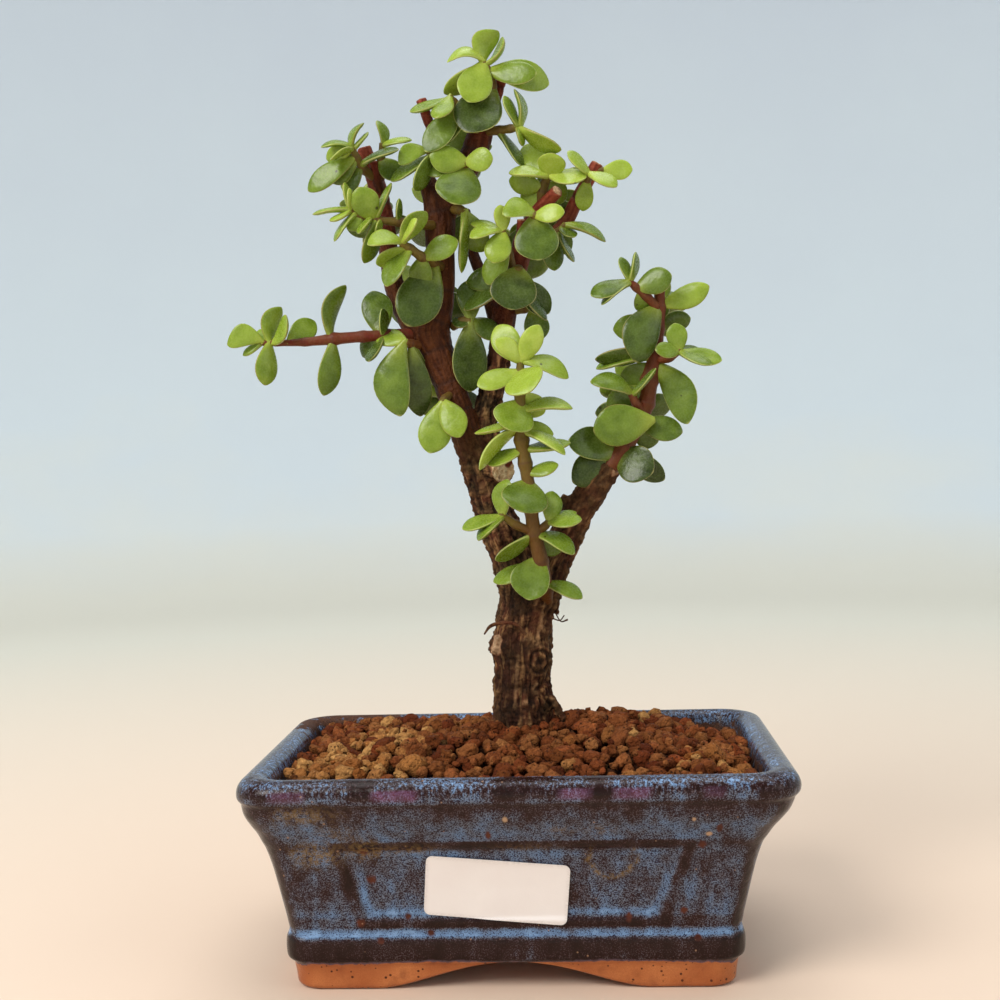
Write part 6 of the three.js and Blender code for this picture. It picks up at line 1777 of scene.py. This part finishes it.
def bark_finish():
    """Old dark furrowed bark that turns into smooth red-brown wood on the younger limbs."""
    finish = Finish("jade_bark")
    axes = {axis: finish.stored("grain_" + axis.lower()) for axis in "XYZ"}
    along_grain = finish.add("ShaderNodeCombineXYZ", axes).outputs[0]
    strands = finish.clouds(1.6, 0.36, 0.64, detail=4.0, place=along_grain)
    fine = finish.clouds(0.55, place=along_grain)
    blotches = finish.clouds(0.006, 0.38, 0.62, detail=4.0)
    rough = finish.clouds(0.0014, detail=5.0)
    tan = finish.times(finish.fit(strands, 0.62, 0.95), finish.fit(blotches, 0.2, 0.8))
    moss = finish.clouds(0.008, 0.42, 0.6, detail=4.0)
    more_above = finish.fit(finish.height(), 0.1, 0.135, 0.25, 0.5)
    # Crests get a partly painted highlight, cracks a partly painted shade
    old = finish.cover(
        finish.mix(rough, *OLD_BARKS),
        (blotches, 0.55, BARK_BLOTCH),
        (tan, 0.75, BARK_STRAND),
        (finish.stored("crest"), finish.fit(rough, 0, 1, 0.35, 1.0), CREST_HIGHLIGHT_AND_SEAM),
        (moss, more_above, finish.mix(rough, *MOSSES)),
        (finish.stored("crack"), 0.8, CRACK_SHADE_AND_DARK_BARK))
    young = finish.cover(finish.mix(strands, *YOUNG_WOODS), (fine, 0.4, YOUNG_WOOD_LINE))
    young = finish.mix(finish.stored("red"), young, finish.mix(strands, *RED_WOODS))
    age, cut = finish.stored("age"), finish.stored("cut")
    hollow = finish.clouds(0.0036, 0.56, 0.68, detail=2.0)
    pale_wood = finish.mix(hollow, finish.mix(rough, *PALE_CUTS), ROTTEN_HOLLOW)
    wood = finish.mix(finish.fit(cut, 1.0, 2.0), finish.mix(rough, *HEALED_CUTS), pale_wood)
    colour = finish.cover(
        finish.mix(age, young, old),
        (finish.stored("ring"), 0.7, OLD_RING),
        (finish.fit(cut, 0.3, 1.0), 0.85, wood))
    finish.bump(rough, 0.0006, 0.7)
    finish.bump(strands, 0.0004, 0.6)
    roughness = finish.fit(age, 0, 1, 0.5, 0.85)
    return finish.done(Base_Color=colour, Roughness=roughness, Specular_IOR_Level=0.12)


# Leaf colour by its tone, from old to young
LEAF_GREENS = [(0.0, (24, 36, 4)), (0.3, (62, 82, 12)), (0.55, (104, 126, 26)), (0.8, (146, 166, 52)),
               (1.0, (184, 198, 86))]
# Pale grey-green painted sheen laid over the middle of each blade
LEAF_PAINTED_SHEEN = (144, 162, 88)
LEAF_FOOT = (170, 178, 72)
LEAF_UNDERSIDE = (124, 142, 66)
LEAF_RIMS = ((196, 202, 124), (150, 126, 76))
LEAF_GRAIN = (160, 178, 100)
LEAF_MARK = (44, 34, 14)
# How far red, green and blue light spread inside a leaf, as shares
LEAF_GLOW = (0.6, 1.0, 0.15)


def leaf_finish():
    """Fleshy satin leaf: dark to yellow-green by age, with a paler rim and underside and a painted sheen in
    the middle of each blade.
    """
    finish = Finish("jade_leaf")
    cloudy = finish.clouds(0.004)
    fine = finish.clouds(0.0007)
    tone = finish.plus(finish.stored("tone"), finish.times(finish.minus(cloudy, 0.5), 0.14))
    # The blade's middle gets a painted sheen in a paler grey-green
    colour = finish.cover(
        finish.ramp(tone, LEAF_GREENS),
        (finish.stored("dome"), finish.fit(cloudy, 0, 1, 0.04, 0.2), LEAF_PAINTED_SHEEN),
        (finish.stored("foot"), 0.5, LEAF_FOOT),
        (finish.stored("under"), 0.25, LEAF_UNDERSIDE),
        (finish.stored("rim"), 0.7, finish.mix(finish.stored("blush"), *LEAF_RIMS)),
        (fine, 0.05, LEAF_GRAIN),
        (finish.specks(0.0065, 0.08, 0.2), 0.85, LEAF_MARK))
    finish.bump(fine, 0.00006, 0.2)
    finish.bump(cloudy, 0.0005, 0.25)
    return finish.done(
        Base_Color=colour, Roughness=finish.fit(fine, 0, 1, 0.22, 0.32), Specular_IOR_Level=0.28,
        Subsurface_Weight=0.12, Subsurface_Radius=LEAF_GLOW, Subsurface_Scale=0.0015)


TWIG_BROWN_TO_GREEN = ((82, 44, 20), (104, 108, 34))
TWIG_FLUSH = (100, 28, 20)
TWIG_NODE = (72, 44, 32)
TWIG_GRAIN = (136, 92, 56)


def twig_finish():
    """Soft young stem, green or brown, flushed red where the light reaches it."""
    finish = Finish("jade_twig")
    cloudy = finish.clouds(0.003)
    fine = finish.clouds(0.0005, place=finish.stretched(1, 1, 0.4))
    colour = finish.cover(
        finish.mix(finish.stored("tone"), *TWIG_BROWN_TO_GREEN),
        (finish.stored("blush"), finish.fit(cloudy, 0, 1, 0.55, 1.0), TWIG_FLUSH),
        (finish.stored("rim"), 0.6, TWIG_NODE),
        (fine, 0.2, TWIG_GRAIN))
    finish.bump(fine, 0.0002, 0.5)
    finish.bump(cloudy, 0.0004, 0.3)
    rough = finish.fit(fine, 0, 1, 0.36, 0.5)
    return finish.done(Base_Color=colour, Roughness=rough, Specular_IOR_Level=0.18)


# Stage, light and camera, in metres where nothing else is said

FLOOR_REACH = 1.1
SWEEP_RADIUS = 0.7
WALL_HEIGHT = 2.2
SWEEP_STEPS = 16
SWEEP_SIDES = 96
FLOOR_WHITES = ((222, 198, 176), (224, 220, 204))
WALL_BLUES = [(0.0, (230, 230, 218)), (0.25, (218, 227, 230)), (1.0, (207, 214, 223))]


def sweep_finish():
    """Matt paint, warm white on the floor near the pot and pale blue up the wall."""
    finish = Finish("sweep_paint")
    cloudy = finish.times(finish.clouds(0.25), 0.15)
    axes = finish.add("ShaderNodeSeparateXYZ", {"Vector": finish.place}).outputs
    level = finish.add("ShaderNodeCombineXYZ", {"X": axes["X"], "Y": axes["Y"]}).outputs[0]
    far = finish.fit(finish.vector_maths("LENGTH", level)["Value"], 0.1, 0.9)
    wall = finish.ramp(finish.plus(finish.fit(axes["Z"], 0.0, 1.2), cloudy), WALL_BLUES)
    colour = finish.mix(finish.fit(axes["Z"], 0.0, 0.08), finish.mix(far, *FLOOR_WHITES), wall)
    return finish.done(Base_Color=colour, Roughness=0.75, Specular_IOR_Level=0.1)


def make_stage():
    """A pale floor that sweeps up into a pale wall all round."""
    profile = [(0.35, 0.0), (FLOOR_REACH, 0.0)]
    for step in range(1, SWEEP_STEPS + 1):
        angle = step / SWEEP_STEPS * math.pi / 2
        profile.append((FLOOR_REACH + SWEEP_RADIUS * math.sin(angle), SWEEP_RADIUS * (1 - math.cos(angle))))
    profile.append((FLOOR_REACH + SWEEP_RADIUS, WALL_HEIGHT))
    points = [(0.0, 0.0, 0.0)]
    for reach, height in profile:
        for side in range(SWEEP_SIDES):
            angle = 2 * math.pi * side / SWEEP_SIDES
            points.append((reach * math.cos(angle), reach * math.sin(angle), height))
    faces = [(0, 1 + side, 1 + (side + 1) % SWEEP_SIDES) for side in range(SWEEP_SIDES)]
    for here, beside, beside_above, above in ring_faces(len(profile), SWEEP_SIDES):
        faces.append((1 + here, 1 + above, 1 + beside_above, 1 + beside))
    mesh = bpy.data.meshes.new("studio_sweep")
    mesh.from_pydata(points, [], faces)
    mesh.materials.append(sweep_finish())
    shade_smooth(mesh)
    add_object("studio_sweep", mesh)


# Each light's place, size, power and colour
LIGHTS = {
    "window_light": ((-0.75, -0.85, 1.05), 0.8, 18, (1.0, 0.98, 0.95)),
    "ceiling_light": ((0.1, 0.15, 1.6), 1.4, 14, (0.97, 0.98, 1.0)),
    "side_light": ((1.0, -0.6, 0.7), 0.8, 2, (1.0, 0.97, 0.94)),
}
LIT_MIDDLE = Vector((0, 0, 0.14))
AIR_COLOUR = (236, 240, 246)
AIR_STRENGTH = 0.42


def light_scene():
    for name, (place, size, power, colour) in LIGHTS.items():
        light = bpy.data.lights.new(name, "AREA")
        light.shape = "DISK"
        light.size = size
        light.energy = power
        light.color = colour
        lamp = add_object(name, light)
        lamp.location = place
        lamp.rotation_mode = "QUATERNION"
        lamp.rotation_quaternion = (LIT_MIDDLE - Vector(place)).to_track_quat("-Z", "Y")
    world = bpy.data.worlds.new("studio_air")
    world.use_nodes = True
    background = world.node_tree.nodes["Background"]
    background.inputs["Color"].default_value = srgb(*AIR_COLOUR)
    background.inputs["Strength"].default_value = AIR_STRENGTH
    bpy.context.scene.world = world
    bpy.context.scene.view_settings.view_transform = "Standard"


# The camera's place is in millimetres from the middle of the pot
CAMERA_PLACE = Vector((21.74, -464.05, 164.64))
CAMERA_YAW = math.radians(3.29)
CAMERA_PITCH = math.radians(1.79)
CAMERA_ROLL = math.radians(1.6)
CAMERA_LENS = 50.0


def add_camera():
    level = Vector((-math.sin(CAMERA_YAW), math.cos(CAMERA_YAW), 0)) * math.cos(CAMERA_PITCH)
    forward = level - Vector((0, 0, math.sin(CAMERA_PITCH)))
    right = Vector((math.cos(CAMERA_YAW), math.sin(CAMERA_YAW), 0))
    up = right.cross(forward)
    rolled_right = math.cos(CAMERA_ROLL) * right - math.sin(CAMERA_ROLL) * up
    rolled_up = math.sin(CAMERA_ROLL) * right + math.cos(CAMERA_ROLL) * up
    lens = bpy.data.cameras.new("photo_camera")
    lens.lens = CAMERA_LENS
    camera = add_object("photo_camera", lens)
    turn = Matrix((rolled_right, rolled_up, -forward)).transposed()
    camera.matrix_world = Matrix.Translation(CAMERA_PLACE * MM + POT_MIDDLE) @ turn.to_4x4()
    bpy.context.scene.camera = camera


# The whole

FIRST_SHOOT_SEED = 100


def dress_screens(plastic):
    """The drain screens keep their own shape and take the plastic."""
    for name in ("drain_screen_left", "drain_screen_right"):
        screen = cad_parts[name]
        screen.data.materials.clear()
        screen.data.materials.append(plastic)


make_pot([glaze_finish()])
make_label([paper_finish()])
dress_screens(plastic_finish())
make_soil([soil_finish()])
make_trunk([bark_finish()])
leaf_materials = [leaf_finish(), twig_finish()]
for seed, shoot_name in enumerate(SHOOTS, FIRST_SHOOT_SEED):
    make_shoot(shoot_name, seed, leaf_materials)
make_stage()
light_scene()
add_camera()
